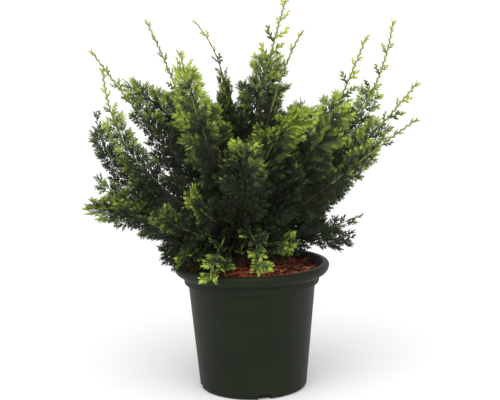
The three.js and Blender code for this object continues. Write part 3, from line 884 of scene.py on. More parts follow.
# Shredded bark and wood: fibres in two tones.
WOOD = Grain(
    scale=420,
    detail=3,
    tones=((0.35, 0.55), (0.65, 1.3)),
    roughness=0.85,
    specular=0.3,
    relief=0.5,
    depth=0.5 * MM,
)
# Peat and fine bark: dark crumbs.
PEAT = Grain(
    scale=260,
    detail=6,
    tones=((0.4, 0.4), (0.62, 1.7)),
    roughness=0.95,
    specular=0.2,
    relief=0.9,
    depth=1.5 * MM,
)
# A pale floor in one tone, with hardly any relief.
FLOOR = Grain(scale=120, detail=3, tones=(), roughness=0.7, specular=0.2, relief=0.05, depth=0.3 * MM)


def plain_finish(name, colour, roughness, specular=0.5):
    """A principled material of one colour, with its shader for what is added to it."""
    material = bpy.data.materials.new(name)
    material.use_nodes = True
    shader = material.node_tree.nodes["Principled BSDF"]
    shader.inputs["Base Color"].default_value = (*colour, 1)
    shader.inputs["Roughness"].default_value = roughness
    shader.inputs["Specular IOR Level"].default_value = specular
    return material, shader


def pattern(tree, scale, detail, stretch, source):
    """A noise over the object or its own unwrapped surface, stretched along its axes."""
    place = add(tree, "ShaderNodeTexCoord").outputs[source]
    stretched = add(tree, "ShaderNodeMapping", {"Vector": place, "Scale": stretch}).outputs["Vector"]
    inputs = {"Vector": stretched, "Scale": scale, "Detail": detail}
    return add(tree, "ShaderNodeTexNoise", inputs).outputs["Fac"]


def ramp(tree, value, stops):
    """A colour ramp over a value, with stops of place and colour."""
    node = add(tree, "ShaderNodeValToRGB", {"Fac": value})
    elements = node.color_ramp.elements
    while len(elements) < len(stops):
        elements.new(0.5)
    for element, (place, colour) in zip(elements, stops):
        element.position = place
        element.color = (*colour, 1)
    return node.outputs["Color"]


def grained_finish(name, colour, grain):
    """A material of one colour that is dealt out, dulled and raised by its grain."""
    material, shader = plain_finish(name, colour, grain.roughness, grain.specular)
    tree = material.node_tree
    value = pattern(tree, grain.scale, grain.detail, grain.stretch, grain.source)
    stops = [(place, tuple(channel * factor for channel in colour)) for place, factor in grain.tones]
    if stops:
        tree.links.new(ramp(tree, value, [*stops, *grain.strips]), shader.inputs["Base Color"])
    if grain.dulling:
        low, high = grain.dulling
        dulled = add(tree, "ShaderNodeMapRange", {"Value": value, "To Min": low, "To Max": high})
        tree.links.new(dulled.outputs["Result"], shader.inputs["Roughness"])
    if grain.finer:
        value = pattern(tree, *grain.finer, grain.source)
    inputs = {"Height": value, "Strength": grain.relief, "Distance": grain.depth}
    tree.links.new(add(tree, "ShaderNodeBump", inputs).outputs["Normal"], shader.inputs["Normal"])
    return material


# ---- The pot -------------------------------------------------------------------------------------

LIP_STEPS = 16
ROUND_STEPS = 5
MOUTH_ROUND = 1.4 * MM
# Where the foot's rounding runs into the wall, as an angle from the outward direction.
FOOT_ENDS = -4
# The step under the collar, the collar's rounded foot, and how far under its top the wall bends inside.
LEDGE_DEPTH = 1.2 * MM
LEDGE_WIDTH = 0.5 * MM
COLLAR_ROUND = 3.2 * MM
COLLAR_RISE = 4.6 * MM
COLLAR_STARTS = -62
COLLAR_INSIDE = 5 * MM
# Drain notches, the first of them by its angle, and how far their cutters reach below the foot.
NOTCH_COUNT = 4
NOTCH_TURN = math.radians(-78.6)
NOTCH_WIDTH = 20 * MM
NOTCH_HEIGHT = 9 * MM
NOTCH_DEPTH = 11 * MM
NOTCH_CORNER = 2 * MM
NOTCH_BELOW = 2 * MM
POT_SHARP_FROM = 32


def arc(centre, half_width, half_height, start, end, steps):
    """Points of a rounded edge in a profile, by the angle from the outward direction."""
    turns = [math.radians(lerp(start, end, step / steps)) for step in range(steps + 1)]
    out, up = centre
    return [(out + half_width * math.cos(turn), up + half_height * math.sin(turn)) for turn in turns]


def corner(centre, radius, start, end):
    return arc(centre, radius, radius, start, end, ROUND_STEPS)


def lip_outline(pot, top):
    """The lip flares out from the collar's top edge to its widest and rounds over to the mouth."""
    flare_width, flare_height = pot.lip_radius - pot.collar_radius, pot.lip_widest - pot.collar_top
    shoulder = (pot.lip_radius - pot.lip_round, pot.lip_widest)
    return [
        *arc((pot.collar_radius, pot.lip_widest), flare_width, flare_height, -90, 0, LIP_STEPS),
        *arc(shoulder, pot.lip_round, top - pot.lip_widest, 0, 90, LIP_STEPS)[1:],
        *corner((pot.mouth_radius + MOUTH_ROUND, top - MOUTH_ROUND), MOUTH_ROUND, 90, 180),
    ]


def pot_profile(pot, top):
    """Radius and height pairs from the middle of the underside, up the outside and down the inside."""
    slope = (pot.neck_radius - pot.base_radius) / pot.neck_height
    collar_foot = (pot.collar_radius - COLLAR_ROUND, pot.neck_height + COLLAR_RISE)
    return [
        (0, 0),
        *corner((pot.base_radius - pot.foot_round, pot.foot_round), pot.foot_round, -90, FOOT_ENDS),
        (pot.neck_radius - slope * LEDGE_DEPTH, pot.neck_height - LEDGE_DEPTH),
        (pot.neck_radius + LEDGE_WIDTH, pot.neck_height),
        *corner(collar_foot, COLLAR_ROUND, COLLAR_STARTS, 0),
        *lip_outline(pot, top),
        (pot.collar_radius - pot.wall, pot.collar_top - COLLAR_INSIDE),
        (pot.neck_radius - pot.wall, pot.neck_height - pot.wall / 2),
        (pot.base_radius - pot.wall, pot.floor),
        (0, pot.floor),
    ]


def ring_points(radius, height, sides):
    turns = [2 * math.pi * side / sides for side in range(sides)]
    return [Vector((radius * math.cos(turn), radius * math.sin(turn), height)) for turn in turns]


def lathe(profile, sides):
    """A closed turned solid from a profile that starts and ends on the axis."""
    points = [Vector((0, 0, profile[0][1])), Vector((0, 0, profile[-1][1]))]
    rings = profile[1:-1]
    for radius, height in rings:
        points += ring_points(radius, height, sides)
    last = 2 + (len(rings) - 1) * sides
    faces = []
    for side in range(sides):
        beside = (side + 1) % sides
        faces += [(0, 2 + beside, 2 + side), (1, last + side, last + beside)]
        for low in range(2, last, sides):
            high = low + sides
            faces.append((low + side, low + beside, high + beside, high + side))
    return points, faces


def notch_cutter(radius, turn):
    """A drain notch's prism through the foot of the wall, open downwards."""
    half, shoulder = NOTCH_WIDTH / 2, NOTCH_WIDTH / 2 - NOTCH_CORNER
    low, high = -NOTCH_BELOW, NOTCH_HEIGHT - NOTCH_CORNER
    outline = [(-half, low), (half, low), (half, high),
               (shoulder, NOTCH_HEIGHT), (-shoulder, NOTCH_HEIGHT), (-half, high)]
    place = Matrix.Rotation(turn, 4, "Z")
    points = [place @ Vector((radius + out, across, height))
              for out in (-NOTCH_DEPTH, NOTCH_DEPTH) for across, height in outline]
    near = range(len(outline))
    far = [len(outline) + index for index in near]
    walls = [(index, beside, far[beside], far[index]) for index, beside in zip(near, (*near[1:], 0))]
    return mesh_of("notch", points, [tuple(reversed(near)), tuple(far), *walls])


def cut(target, cutters):
    """Cuts some meshes out of an object and gives back the plain mesh."""
    holders = [new_object("cutter", mesh) for mesh in cutters]
    for holder in holders:
        modifier = target.modifiers.new("Cut", "BOOLEAN")
        modifier.operation = "DIFFERENCE"
        modifier.solver = "EXACT"
        modifier.object = holder
    result = shaped_mesh(target)
    for spent in (target, *holders):
        bpy.data.objects.remove(spent)
    return result


class CYPRESS_OT_mould_pot(bpy.types.Operator):
    """Mould the nursery pot with its collar, rolled lip and drain notches"""

    bl_idname = "cypress.mould_pot"
    bl_label = "Mould Pot"

    def execute(self, context):
        pot = context.scene.cypress_pot
        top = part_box("pot")[1].z
        shell = new_object("shell", mesh_of("shell", *lathe(pot_profile(pot, top), pot.sides)))
        turns = [NOTCH_TURN + 2 * math.pi * index / NOTCH_COUNT for index in range(NOTCH_COUNT)]
        mesh = cut(shell, [notch_cutter(pot.base_radius, turn) for turn in turns])
        mesh.name = "nursery_pot"
        smooth(mesh, POT_SHARP_FROM)
        finish = grained_finish("satin_plastic", pot.plastic, PLASTIC)
        new_piece("nursery_pot", mesh, finish, "pot", ["pot"])
        return {"FINISHED"}


# ---- The filling ---------------------------------------------------------------------------------

# The bed of fine bark: its lumps, by how close they stand and how high they rise, its taper to the foot,
# its fall towards the rim, and how far it lies under the top of the mulch.
BED_RINGS = 34
BED_SIDES = 96
BED_LUMPS = ((55, 1), (140, 0.5))
BED_SWELL = 2.4 * MM
BED_TAPER = 3 * MM
BED_FALL = 2.5 * MM
BED_UNDER = 6 * MM
BED_SHARP_FROM = 40
# The disc on which shreds are scattered stays inside the bed and over its foot, and keeps what lies near
# the bed's surface.
SHREDS_INSIDE = 8 * MM
SHREDS_OVER = 2 * MM
SHREDS_NEAR = 6 * MM
# Shreds: their kinds, and how far they bow, twist, rise, and vary in width and thickness.
SHRED_KINDS = "abcd"
SHRED_STEPS = 5
SHRED_BOW = 0.28
SHRED_TWIST = 1.6
SHRED_RISE = 0.1
SHRED_WIDTHS = (0.65, 1.1)
SHRED_THICKNESSES = (0.25, 0.45)
SHRED_SIZES = (0.35, 1.25)
SHRED_TURNS = ((-0.5, -0.45, 0), (0.5, 0.45, 2 * math.pi))
# Their layers: colour, share of the density and height over the bed. Each takes the next seed.
SHRED_LAYERS = (
    ("dark", 0.9, 0.5 * MM),
    ("red", 1.1, 1.5 * MM),
    ("orange", 0.75, 2.6 * MM),
    ("pale", 0.05, 3 * MM),
)
FIRST_SEED = 4


def mulch_bed(radius, low, high):
    """A lumpy closed disc of fine bark that fills the mouth."""
    points = []
    for ring in range(1, BED_RINGS + 1):
        fall = BED_FALL * (ring / BED_RINGS) ** 6
        for place in ring_points(radius * ring / BED_RINGS, 0, BED_SIDES):
            lump = sum(rise * noise.noise(place * closeness) for closeness, rise in BED_LUMPS)
            points.append(place + Vector((0, 0, high + BED_SWELL * lump - fall)))
    points += ring_points(radius - BED_TAPER, low, BED_SIDES)
    top = len(points)
    foot = top - BED_SIDES
    points += [Vector((0, 0, high)), Vector((0, 0, low))]
    faces = []
    for side in range(BED_SIDES):
        beside = (side + 1) % BED_SIDES
        faces.append((top, side, beside))
        for near in range(0, foot, BED_SIDES):
            far = near + BED_SIDES
            faces.append((near + side, far + side, far + beside, near + beside))
        faces.append((top + 1, foot + beside, foot + side))
    return mesh_of("mulch_bed", points, faces)


def keep_top(mesh, height):
    """Leaves only the faces of a mesh that lie above a height."""
    work = bmesh.new()
    work.from_mesh(mesh)
    low = [face for face in work.faces if face.calc_center_median().z < height]
    bmesh.ops.delete(work, geom=low, context="FACES")
    work.to_mesh(mesh)
    work.free()


def shred_shape(kind, length, width):
    """One curved, ragged shred of bark with a flat section and pointed ends."""
    draw = Draw("shred" + kind)
    bow = draw.between(-SHRED_BOW, SHRED_BOW)
    twist = draw.between(-SHRED_TWIST, SHRED_TWIST)
    points = [Vector((-length / 2, 0, 0))]
    for step in range(1, SHRED_STEPS):
        share = step / SHRED_STEPS
        across = width / 2 * draw.between(*SHRED_WIDTHS)
        thick = across * draw.between(*SHRED_THICKNESSES)
        bowed = bow * length * 4 * share * (1 - share)
        raised = SHRED_RISE * bow * length * math.sin(math.pi * share)
        middle = Vector(((share - 0.5) * length, bowed, raised))
        turn = Matrix.Rotation(twist * share, 3, "X")
        for y, z in ((across, 0), (0, thick), (-across, 0), (0, -thick)):
            points.append(middle + turn @ Vector((0, y, z)))
    tip = len(points)
    points.append(Vector((length / 2, 0, 0)))
    faces = []
    for side in range(4):
        beside = (side + 1) % 4
        faces.append((0, 1 + beside, 1 + side))
        for near in range(1, tip - 4, 4):
            far = near + 4
            faces.append((near + side, near + beside, far + beside, far + side))
        faces.append((tip, tip - 4 + side, tip - 4 + beside))
    return mesh_of("shred", points, faces)


def shred_tree():
    """Scatters shreds over the bed, each turned, tipped and sized at random by a fixed seed."""
    kinds = {"Shreds": "Collection", "Density": "Float", "Seed": "Int", "Lift": "Float"}
    tree, given = new_tree("Scattered Shreds", **kinds)
    inputs = {"Mesh": given["Geometry"], "Density": given["Density"], "Seed": given["Seed"]}
    points = add(tree, "GeometryNodeDistributePointsOnFaces", inputs).outputs["Points"]
    offset = add(tree, "ShaderNodeCombineXYZ", {"Z": given["Lift"]}).outputs["Vector"]
    lifted = add(tree, "GeometryNodeSetPosition", {"Geometry": points, "Offset": offset})
    # A random value has a pair of inputs and an output of its own for each type of data.
    inputs = {0: SHRED_TURNS[0], 1: SHRED_TURNS[1], "Seed": given["Seed"]}
    turn = add(tree, "FunctionNodeRandomValue", inputs, data_type="FLOAT_VECTOR").outputs[0]
    inputs = {2: SHRED_SIZES[0], 3: SHRED_SIZES[1], "Seed": given["Seed"]}
    size = add(tree, "FunctionNodeRandomValue", inputs, data_type="FLOAT").outputs[1]
    placing = {"Rotation": turn, "Scale": size}
    place_shapes(tree, given, given["Shreds"], lifted.outputs["Geometry"], placing)
    return tree


class CYPRESS_OT_fill_pot(bpy.types.Operator):
    """Fill the pot with peat and spread shredded bark over it"""

    bl_idname = "cypress.fill_pot"
    bl_label = "Fill Pot"

    def execute(self, context):
        mulch = context.scene.cypress_mulch
        medium = frame["nodes"]["growing_medium"].data
        medium.materials.clear()
        medium.materials.append(grained_finish("peat", mulch.peat, PEAT))
        low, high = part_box("bark_mulch")
        surface = high.z - BED_UNDER
        bed = mulch_bed(high.x, low.z, surface)
        smooth(bed, BED_SHARP_FROM)
        new_piece("mulch_bed", bed, grained_finish("peat", mulch.bed, PEAT), "bark_mulch", ["bark_mulch"])
        sizes = (mulch.shred_length, mulch.shred_width)
        shapes = shape_collection("shred", [shred_shape(kind, *sizes) for kind in SHRED_KINDS])
        tree = shred_tree()
        for seed, (tone, share, lift) in enumerate(SHRED_LAYERS, FIRST_SEED):
            name = f"{tone}_shreds"
            disc = mulch_bed(high.x - SHREDS_INSIDE, low.z + SHREDS_OVER, surface)
            keep_top(disc, surface - SHREDS_NEAR)
            finish = grained_finish(name, getattr(mulch, tone), WOOD)
            values = {"Shreds": shapes, "Density": mulch.density * share, "Seed": seed, "Lift": lift}
            mesh = grown(name, disc, tree, Finish=finish, **values)
            new_piece(name, mesh, finish, "bark_mulch", ["bark_mulch"])
        drop_collection(shapes)
        return {"FINISHED"}


# ---- Bark on the trunk and boughs ----------------------------------------------------------------

BARK_DEPTH = 0.085
RING_SPACING = 1.3 * MM
LEAST_RINGS = 6
TRUNK_SIDES = 44
BOUGH_SIDES = 18
TRUNK_SEED = 1.7
# Strips and fibres of bark: how close they stand round a limb and along a metre of it, and how high.
STRIPS_ROUND, STRIPS_ALONG, STRIPS_HIGH = 2.6, 22, 0.7
FIBRES_ROUND, FIBRES_ALONG, FIBRES_HIGH = 7, 60, 0.3


def bark_height(turn, along, seed):
    """The relief of stringy bark, from -1 to 1: ridges that run with the limb and flake across it."""
    around = Vector((math.cos(turn), math.sin(turn), 0))
    strips = noise.noise(around * STRIPS_ROUND + Vector((seed, 0, along * STRIPS_ALONG)))
    fibres = noise.noise(around * FIBRES_ROUND + Vector((0, seed, along * FIBRES_ALONG)))
    return STRIPS_HIGH * strips + FIBRES_HIGH * fibres


def bark_tube(work, uv_layer, curve, azimuth, roll, end, radius_at, sides, seed):
    """Adds a closed tube along the first part of a curve, with bark relief and unwrapped in metres."""
    rings = max(LEAST_RINGS, round(curve.length * end / RING_SPACING))
    circles = []
    for ring in range(rings + 1):
        share = ring / rings
        at = end * share
        side, normal = plane_of(curve.tangent(at), azimuth, roll)
        middle = curve.point(at)
        along = curve.length * at
        circle = []
        for step in range(sides):
            turn = 2 * math.pi * step / sides
            radius = radius_at(share, turn) * (1 + BARK_DEPTH * bark_height(turn, along, seed))
            point = middle + side * (radius * math.cos(turn)) + normal * (radius * math.sin(turn))
            circle.append(work.verts.new(point))
        circles.append((circle, along))
    width = 2 * math.pi * radius_at(0.5, 0) / sides
    for (low, low_at), (high, high_at) in zip(circles, circles[1:]):
        for step in range(sides):
            beside = (step + 1) % sides
            face = work.faces.new((low[step], low[beside], high[beside], high[step]))
            corners = ((step, low_at), (step + 1, low_at), (step + 1, high_at), (step, high_at))
            for loop, (across, along) in zip(face.loops, corners):
                loop[uv_layer].uv = (across * width, along)
    work.faces.new(list(reversed(circles[0][0])))
    work.faces.new(circles[-1][0])


def trunk_radius(share, turn):
    """An even taper, with a lobed root flare at the foot."""
    height = TRUNK_AXIS.point(FORK).z - FOOT.z
    flare = FLARE * math.exp(-share * height / FLARE_HEIGHT)
    lobes = 1 - FLARE_LOBE_DEPTH * (1 - math.cos(FLARE_LOBES * turn))
    return lerp(TRUNK_RADIUS, FORK_RADIUS, share) + flare * lobes


def bough_radius(limb):
    """The rule by which a bough's bare foot tapers from the trunk to its foliage."""
    girth = limb.radius / BOUGH_TAPER
    return lambda share, turn: girth * lerp(1, BOUGH_TAPER, share)


def bark_mesh(name, tubes):
    """A mesh of bark tubes, unwrapped, with its faces outwards."""
    work = bmesh.new()
    uv_layer = work.loops.layers.uv.new("UVMap")
    for tube in tubes:
        bark_tube(work, uv_layer, *tube)
    bmesh.ops.recalc_face_normals(work, faces=work.faces)
    mesh = finished_mesh(name, work)
    mesh.shade_smooth()
    return mesh


class CYPRESS_OT_bark_limbs(bpy.types.Operator):
    """Clothe the trunk and the boughs in stringy bark"""

    bl_idname = "cypress.bark_limbs"
    bl_label = "Bark Limbs"

    def execute(self, context):
        plant = context.scene.cypress_plant
        finish = grained_finish("stringy_bark", plant.bark, BARK)
        trunk = (TRUNK_AXIS, TIP_AZIMUTH, 0, FORK, trunk_radius, TRUNK_SIDES, TRUNK_SEED)
        boughs = [limb for limb in all_limbs(plant) if limb.start == BOUGH_BARE]
        tubes = [(limb.axis, limb.azimuth, limb.roll, limb.start, bough_radius(limb), BOUGH_SIDES, seed)
                 for seed, limb in enumerate(boughs)]
        new_piece("trunk_bark", bark_mesh("trunk_bark", [trunk]), finish, "bark", ["trunk"])
        new_piece("bough_bark", bark_mesh("bough_bark", tubes), finish, "bark", nodes_named("bough_"))
        return {"FINISHED"}


# ---- Stems inside the foliage --------------------------------------------------------------------

# A limb's stem tapers from its root's radius to a twig's, which is stouter in a long whip, and is green
# from this share of its foliage on.
STEM_SIDES = 5
STEM_STEPS = 26
STEM_TAPER = 0.34
WHIP_TWIG = 0.85 * MM
FINE_TWIG = 0.5 * MM
LONG_WHIP = 0.1
GREEN_FROM = 0.42
# A side shoot's stem: its radius, how much it thins, and the share of the shoot that it reaches along.
SHOOT_STEPS = 4
SHOOT_STEM = 0.5 * MM
SHOOT_THINNING = 0.6
SHOOT_REACH = 0.93


def stem_tree():
    """Turns edges into closed round stems whose radius is stored on their points."""
    tree, given = new_tree("Stems", Sides="Int")
    lines = add(tree, "GeometryNodeMeshToCurve", {"Mesh": given["Geometry"]}).outputs["Curve"]
    section = add(tree, "GeometryNodeCurvePrimitiveCircle", {"Resolution": given["Sides"], "Radius": 1})
    inputs = {
        "Curve": lines,
        "Profile Curve": section.outputs["Curve"],
        "Scale": stored(tree, "girth", "FLOAT"),
        "Fill Caps": True,
    }
    end_tree(tree, add(tree, "GeometryNodeCurveToMesh", inputs).outputs["Mesh"], given)
    return tree


def stem_lines(name, lines):
    """A mesh of edges from lines of points, each with its girth."""
    points = [point for line in lines for point, _ in line]
    edges = []
    first = 0
    for line in lines:
        edges += [(first + step, first + step + 1) for step in range(len(line) - 1)]
        first += len(line)
    mesh = mesh_of(name, points, edges=edges)
    store(mesh, "girth", "FLOAT", [girth for line in lines for _, girth in line])
    return mesh


def limb_line(limb, start, end):
    """A limb's stem between two shares of its axis."""
    line = []
    twig = WHIP_TWIG if limb.whip > LONG_WHIP else FINE_TWIG
    for step in range(STEM_STEPS + 1):
        at = lerp(start, end, step / STEM_STEPS)
        share = (at - limb.start) / (1 - limb.start)
        line.append((limb.axis.point(at), lerp(limb.radius, twig, share**STEM_TAPER)))
    return line


def shoot_line(shoot):
    line = []
    for step in range(SHOOT_STEPS + 1):
        share = step / SHOOT_STEPS
        line.append((shoot_point(shoot, share * SHOOT_REACH), SHOOT_STEM * (1 - SHOOT_THINNING * share)))
    return line


class CYPRESS_OT_draw_stems(bpy.types.Operator):
    """Draw the woody and the green stems inside the foliage"""

    bl_idname = "cypress.draw_stems"
    bl_label = "Draw Stems"

    def execute(self, context):
        plant = context.scene.cypress_plant
        limbs = all_limbs(plant)
        woody = [limb_line(limb, limb.start, lerp(limb.start, 1, GREEN_FROM)) for limb in limbs]
        green = [limb_line(limb, lerp(limb.start, 1, GREEN_FROM), 1) for limb in limbs]
        for shoot in (shoot for limb in limbs for shoot in shoots_of(limb)):
            if shoot.length >= SHORT_SHOOT and not shoot.in_whip:
                woody.append(shoot_line(shoot))
        tree = stem_tree()
        kinds = (
            ("woody_stems", woody, plant.brown_stem, "bark"),
            ("green_stems", green, plant.green_stem, "foliage_fresh"),
        )
        for name, lines, colour, slot in kinds:
            finish, _ = plain_finish(name, colour, roughness=0.6)
            mesh = grown(name, stem_lines(name, lines), tree, Sides=STEM_SIDES, Finish=finish)
            mesh.shade_smooth()
            new_piece(name, mesh, finish, slot, nodes_named("foliage_"))
        return {"FINISHED"}


# ---- Foliage -------------------------------------------------------------------------------------

# Spray shapes, one long: pairs of lobes, the first lobes' length, angle and width, the cup and a name.
SPRAY_SHAPES = (
    (6, 0.42, 42, 0.29, 0.10, "broad"),
    (6, 0.36, 38, 0.32, -0.06, "long"),
    (6, 0.44, 46, 0.29, 0.16, "cupped"),
    (4, 0.44, 40, 0.33, 0.08, "short"),
    (4, 0.42, 44, 0.35, -0.05, "small"),
    (4, 0.42, 42, 0.42, 0.06, "forked"),
    (3, 0.48, 46, 0.42, -0.08, "tipped"),
)
# Which of them large sprays, small sprays and the sprays of a whip take.
LARGE_KINDS = (0, 1, 2)
SMALL_KINDS = (3, 4)
WHIP_KINDS = (5, 6)
SMALL_SPRAY = 16 * MM
# Where a spray's outer half begins, where the middle lobe of the inner half starts, and how far it runs
# into the outer half. How wide a middle lobe is, and how much more a spray is cupped across than along.
SPRAY_SPLIT = 0.5
AXIS_START = -0.03
AXIS_OVERLAP = 0.1
AXIS_WIDTH = 0.14
CUP_ACROSS = 1.6
# Side lobes: between which shares of a spray they stand, how they lengthen from its foot and shorten and
# close towards its tip, how far they stray, and how they vary.
LOBES_BETWEEN = (0.04, 0.86)
LOBE_FIRST = 0.62
LOBE_LENGTHENING = 1.6
LOBE_SHORTENING = 0.62
LOBE_CLOSING = 12
LOBE_TURN = 6
LOBE_ROLL = 34
LOBE_BEND = 0.03
LOBE_LENGTHS = (0.86, 1.14)
LOBE_WIDTHS = (0.85, 1.15)
LOBE_LEAST_WIDTH = 0.015
# A lobe is widest at this share of its length, and thick by this share of its width.
LOBE_WIDEST = 0.36
LOBE_THICKNESS = 0.28
SPRAYS_IN_A_PIECE = 3600


def lobe(points, faces, root, direction, length, width, roll, bend):
    """Adds one blunt lobe of scale leaves: a kite folded along its middle and rolled about its length."""
    level = Vector((-direction.y, direction.x, 0))
    across = level * math.cos(roll) + Vector((0, 0, math.sin(roll)))
    fold = direction.cross(across) * (LOBE_THICKNESS * width)
    middle = root + direction * (LOBE_WIDEST * length) - fold
    first = len(points)
    points += [root, middle + across * width / 2, middle - across * width / 2,
               root + direction * length + Vector((0, 0, bend))]
    left, right, tip = range(first + 1, first + 4)
    faces += [(first, right, tip), (first, tip, left), (first, left, right), (tip, right, left)]


def spray_shape(pairs, longest, opening, breadth, cup, name, outer):
    """The inner or outer half of a flat spray along +X, with alternate lobes."""
    draw = Draw("spray " + name)
    points, faces = [], []
    start, end = (SPRAY_SPLIT, 1) if outer else (AXIS_START, SPRAY_SPLIT + AXIS_OVERLAP)
    lobe(points, faces, Vector((start, 0, 0)), Vector((1, 0, 0)), end - start, AXIS_WIDTH, 0, 0)
    for index in range(2 * pairs):
        share = (index + 0.5) / (2 * pairs)
        swell = min(1, LOBE_FIRST + LOBE_LENGTHENING * share)
        length = longest * (1 - LOBE_SHORTENING * share) * swell * draw.between(*LOBE_LENGTHS)
        hand = -1 if index % 2 else 1
        turn = math.radians(opening - LOBE_CLOSING * share + draw.between(-LOBE_TURN, LOBE_TURN)) * hand
        width = breadth * length * draw.between(*LOBE_WIDTHS) + LOBE_LEAST_WIDTH
        roll = math.radians(draw.between(-LOBE_ROLL, LOBE_ROLL))
        bend = draw.between(-LOBE_BEND, LOBE_BEND)
        if (share > SPRAY_SPLIT) == outer:
            root = Vector((lerp(*LOBES_BETWEEN, share), 0, 0))
            direction = Vector((math.cos(turn), math.sin(turn), 0))
            lobe(points, faces, root, direction, length, width, roll, bend)
    for point in points:
        point.z -= cup * (point.x * point.x + CUP_ACROSS * point.y * point.y)
    return mesh_of(name, points, faces)


def spray_tree():
    """Puts a spray shape on each point, turned, sized and chosen by what is stored there."""
    tree, given = new_tree("Sprays", Sprays="Collection")
    placing = {
        "Instance Index": stored(tree, "kind", "INT"),
        "Rotation": stored(tree, "turn", "QUATERNION"),
        "Scale": stored(tree, "size", "FLOAT"),
    }
    place_shapes(tree, given, given["Sprays"], given["Geometry"], placing)
    return tree


def spray_points(name, sprays):
    """A mesh of loose points, one for each spray, that stores its turn, size and kind."""
    mesh = mesh_of(name, [spray.root for spray in sprays])
    turns, kinds = [], []
    for index, spray in enumerate(sprays):
        across = spray.normal.cross(spray.direction)
        turns.extend(Matrix((spray.direction, across, spray.normal)).transposed().to_quaternion())
        small = spray.length < SMALL_SPRAY and not spray.alone
        choice = WHIP_KINDS if spray.in_whip else SMALL_KINDS if small else LARGE_KINDS
        kinds.append(choice[index % len(choice)])
    store(mesh, "turn", "QUATERNION", turns)
    store(mesh, "size", "FLOAT", [spray.length for spray in sprays])
    store(mesh, "kind", "INT", kinds)
    return mesh


def shaded_halves(plant, pot):
    """The sprays by the shade of their inner and of their outer half, which is lighter."""
    halves = {(shade, outer): [] for shade in SHADES for outer in (False, True)}
    for count, (spray, index) in enumerate(all_sprays(plant, pot)):
        # Every second spray that is not alone has its inner half one shade darker, painted shade between the
        # lobes; the outer half is one shade lighter, as young tips are.
        darker = 0 if spray.alone else count % 2
        halves[SHADES[max(0, index - darker)], False].append(spray)
        halves[SHADES[index + 1], True].append(spray)
    return halves


class CYPRESS_OT_grow_foliage(bpy.types.Operator):
    """Grow the sprays of scale leaves, each shade apart"""

    bl_idname = "cypress.grow_foliage"
    bl_label = "Grow Foliage"

    def execute(self, context):
        plant = context.scene.cypress_plant
        tree = spray_tree()
        shapes = {outer: shape_collection("spray", [spray_shape(*row, outer) for row in SPRAY_SHAPES])
                  for outer in (False, True)}
        finishes = {}
        for shade in SHADES:
            colour = getattr(plant, shade)
            finishes[shade], _ = plain_finish(f"{shade}_foliage", colour, roughness=0.7, specular=0.1)
        for (shade, outer), sprays in shaded_halves(plant, context.scene.cypress_pot).items():
            for part, first in enumerate(range(0, len(sprays), SPRAYS_IN_A_PIECE)):
                name = f"{shade}_{'tips' if outer else 'foliage'}_{part + 1}"
                carrier = spray_points(name, sprays[first:first + SPRAYS_IN_A_PIECE])
                mesh = grown(name, carrier, tree, Sprays=shapes[outer], Finish=finishes[shade])
                new_piece(name, mesh, finishes[shade], SHADE_SLOTS[shade], nodes_named("foliage_"))
        for half in shapes.values():
            drop_collection(half)
        return {"FINISHED"}


# ---- The stage -----------------------------------------------------------------------------------

FLOOR_RADIUS = 14
FLOOR_SIDES = 96
KEY_FROM = Vector((-0.12, -0.85, 1.05))
KEY_ANGLE = 80
# The sines of the heights between which the white light fades from the horizon's to the zenith's.
FADE_HEIGHTS = (0.3, 0.7)


def camera_matrix(stage):
    """The camera in front of the plant, tilted down and rolled about its line of sight."""
    tilt = Matrix.Rotation(math.pi / 2 - stage.pitch, 4, "X")
    turn = Matrix.Rotation(stage.roll, 4, "Z")
    return Matrix.Translation((stage.sideways, -stage.distance, stage.height)) @ tilt @ turn


def studio_light(stage):
    """Plain white light all round, that is strongest near the horizon."""
    world = bpy.data.worlds.new("studio")
    world.use_nodes = True
    tree = world.node_tree
    background = tree.nodes["Background"]
    background.inputs["Color"].default_value = (1, 1, 1, 1)
    place = add(tree, "ShaderNodeTexCoord").outputs["Generated"]
    height = add(tree, "ShaderNodeSeparateXYZ", {"Vector": place}).outputs["Z"]
    inputs = {
        "Value": height,
        "From Min": FADE_HEIGHTS[0],
        "From Max": FADE_HEIGHTS[1],
        "To Min": stage.horizon,
        "To Max": stage.zenith,
    }
    strength = add(tree, "ShaderNodeMapRange", inputs).outputs["Result"]
    tree.links.new(strength, background.inputs["Strength"])
    return world


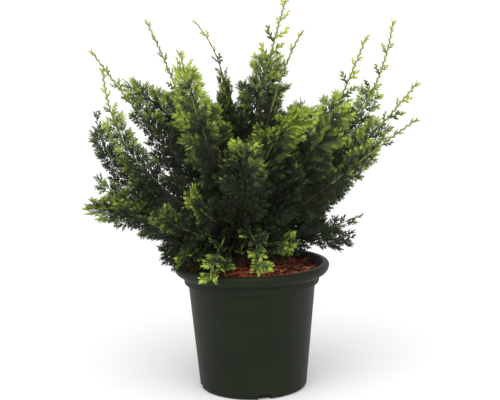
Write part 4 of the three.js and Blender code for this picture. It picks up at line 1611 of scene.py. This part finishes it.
class CYPRESS_OT_set_stage(bpy.types.Operator):
    """Set the pale floor, the soft studio light and the camera"""

    bl_idname = "cypress.set_stage"
    bl_label = "Set Stage"

    def execute(self, context):
        stage = context.scene.cypress_stage
        work = bmesh.new()
        bmesh.ops.create_circle(work, cap_ends=True, segments=FLOOR_SIDES, radius=FLOOR_RADIUS)
        floor = new_object("floor", finished_mesh("floor", work))
        floor.data.materials.append(grained_finish("pale_floor", stage.floor, FLOOR))
        floor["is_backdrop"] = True
        light = bpy.data.lights.new("key_light", "SUN")
        light.energy = stage.key
        light.angle = math.radians(KEY_ANGLE)
        lamp = new_object("key_light", light)
        lamp.matrix_world = (-KEY_FROM).to_track_quat("-Z", "Y").to_matrix().to_4x4()
        context.scene.world = studio_light(stage)
        context.scene.view_settings.view_transform = "Standard"
        camera = bpy.data.cameras.new("camera")
        camera.lens = stage.lens
        camera.dof.use_dof = False
        viewer = new_object("camera", camera)
        viewer.matrix_world = camera_matrix(stage)
        context.scene.camera = viewer
        return {"FINISHED"}


# ---- The add-on ----------------------------------------------------------------------------------

STEPS = (
    CYPRESS_OT_set_stage,
    CYPRESS_OT_mould_pot,
    CYPRESS_OT_fill_pot,
    CYPRESS_OT_bark_limbs,
    CYPRESS_OT_draw_stems,
    CYPRESS_OT_grow_foliage,
)
SETTINGS = {
    "cypress_pot": PotSettings,
    "cypress_mulch": MulchSettings,
    "cypress_plant": PlantSettings,
    "cypress_stage": StageSettings,
}


class CYPRESS_PT_panel(bpy.types.Panel):
    """Lists the steps and their settings"""

    bl_label = "Dwarf Hinoki Cypress"
    bl_idname = "CYPRESS_PT_panel"
    bl_space_type = "VIEW_3D"
    bl_region_type = "UI"
    bl_category = "Cypress"

    def draw(self, context):
        for step in STEPS:
            self.layout.operator(step.bl_idname)
        for name in SETTINGS:
            settings = getattr(context.scene, name)
            box = self.layout.box()
            for key in settings.bl_rna.properties.keys():
                if key not in ("rna_type", "name"):
                    box.prop(settings, key)


def register():
    for group in SETTINGS.values():
        bpy.utils.register_class(group)
    for name, group in SETTINGS.items():
        setattr(bpy.types.Scene, name, PointerProperty(type=group))
    for step in STEPS:
        bpy.utils.register_class(step)
    bpy.utils.register_class(CYPRESS_PT_panel)


def unregister():
    bpy.utils.unregister_class(CYPRESS_PT_panel)
    for step in reversed(STEPS):
        bpy.utils.unregister_class(step)
    for name in SETTINGS:
        delattr(bpy.types.Scene, name)
    for group in SETTINGS.values():
        bpy.utils.unregister_class(group)


def main():
    register()
    bpy.ops.cypress.set_stage()
    bpy.ops.cypress.mould_pot()
    bpy.ops.cypress.fill_pot()
    bpy.ops.cypress.bark_limbs()
    bpy.ops.cypress.draw_stems()
    bpy.ops.cypress.grow_foliage()
    boxes = {"cad": CAD_BOX, "visual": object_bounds()}
    {name: [list(corner) for corner in box] for name, box in boxes.items()}


if __name__ == "__main__":
    main()
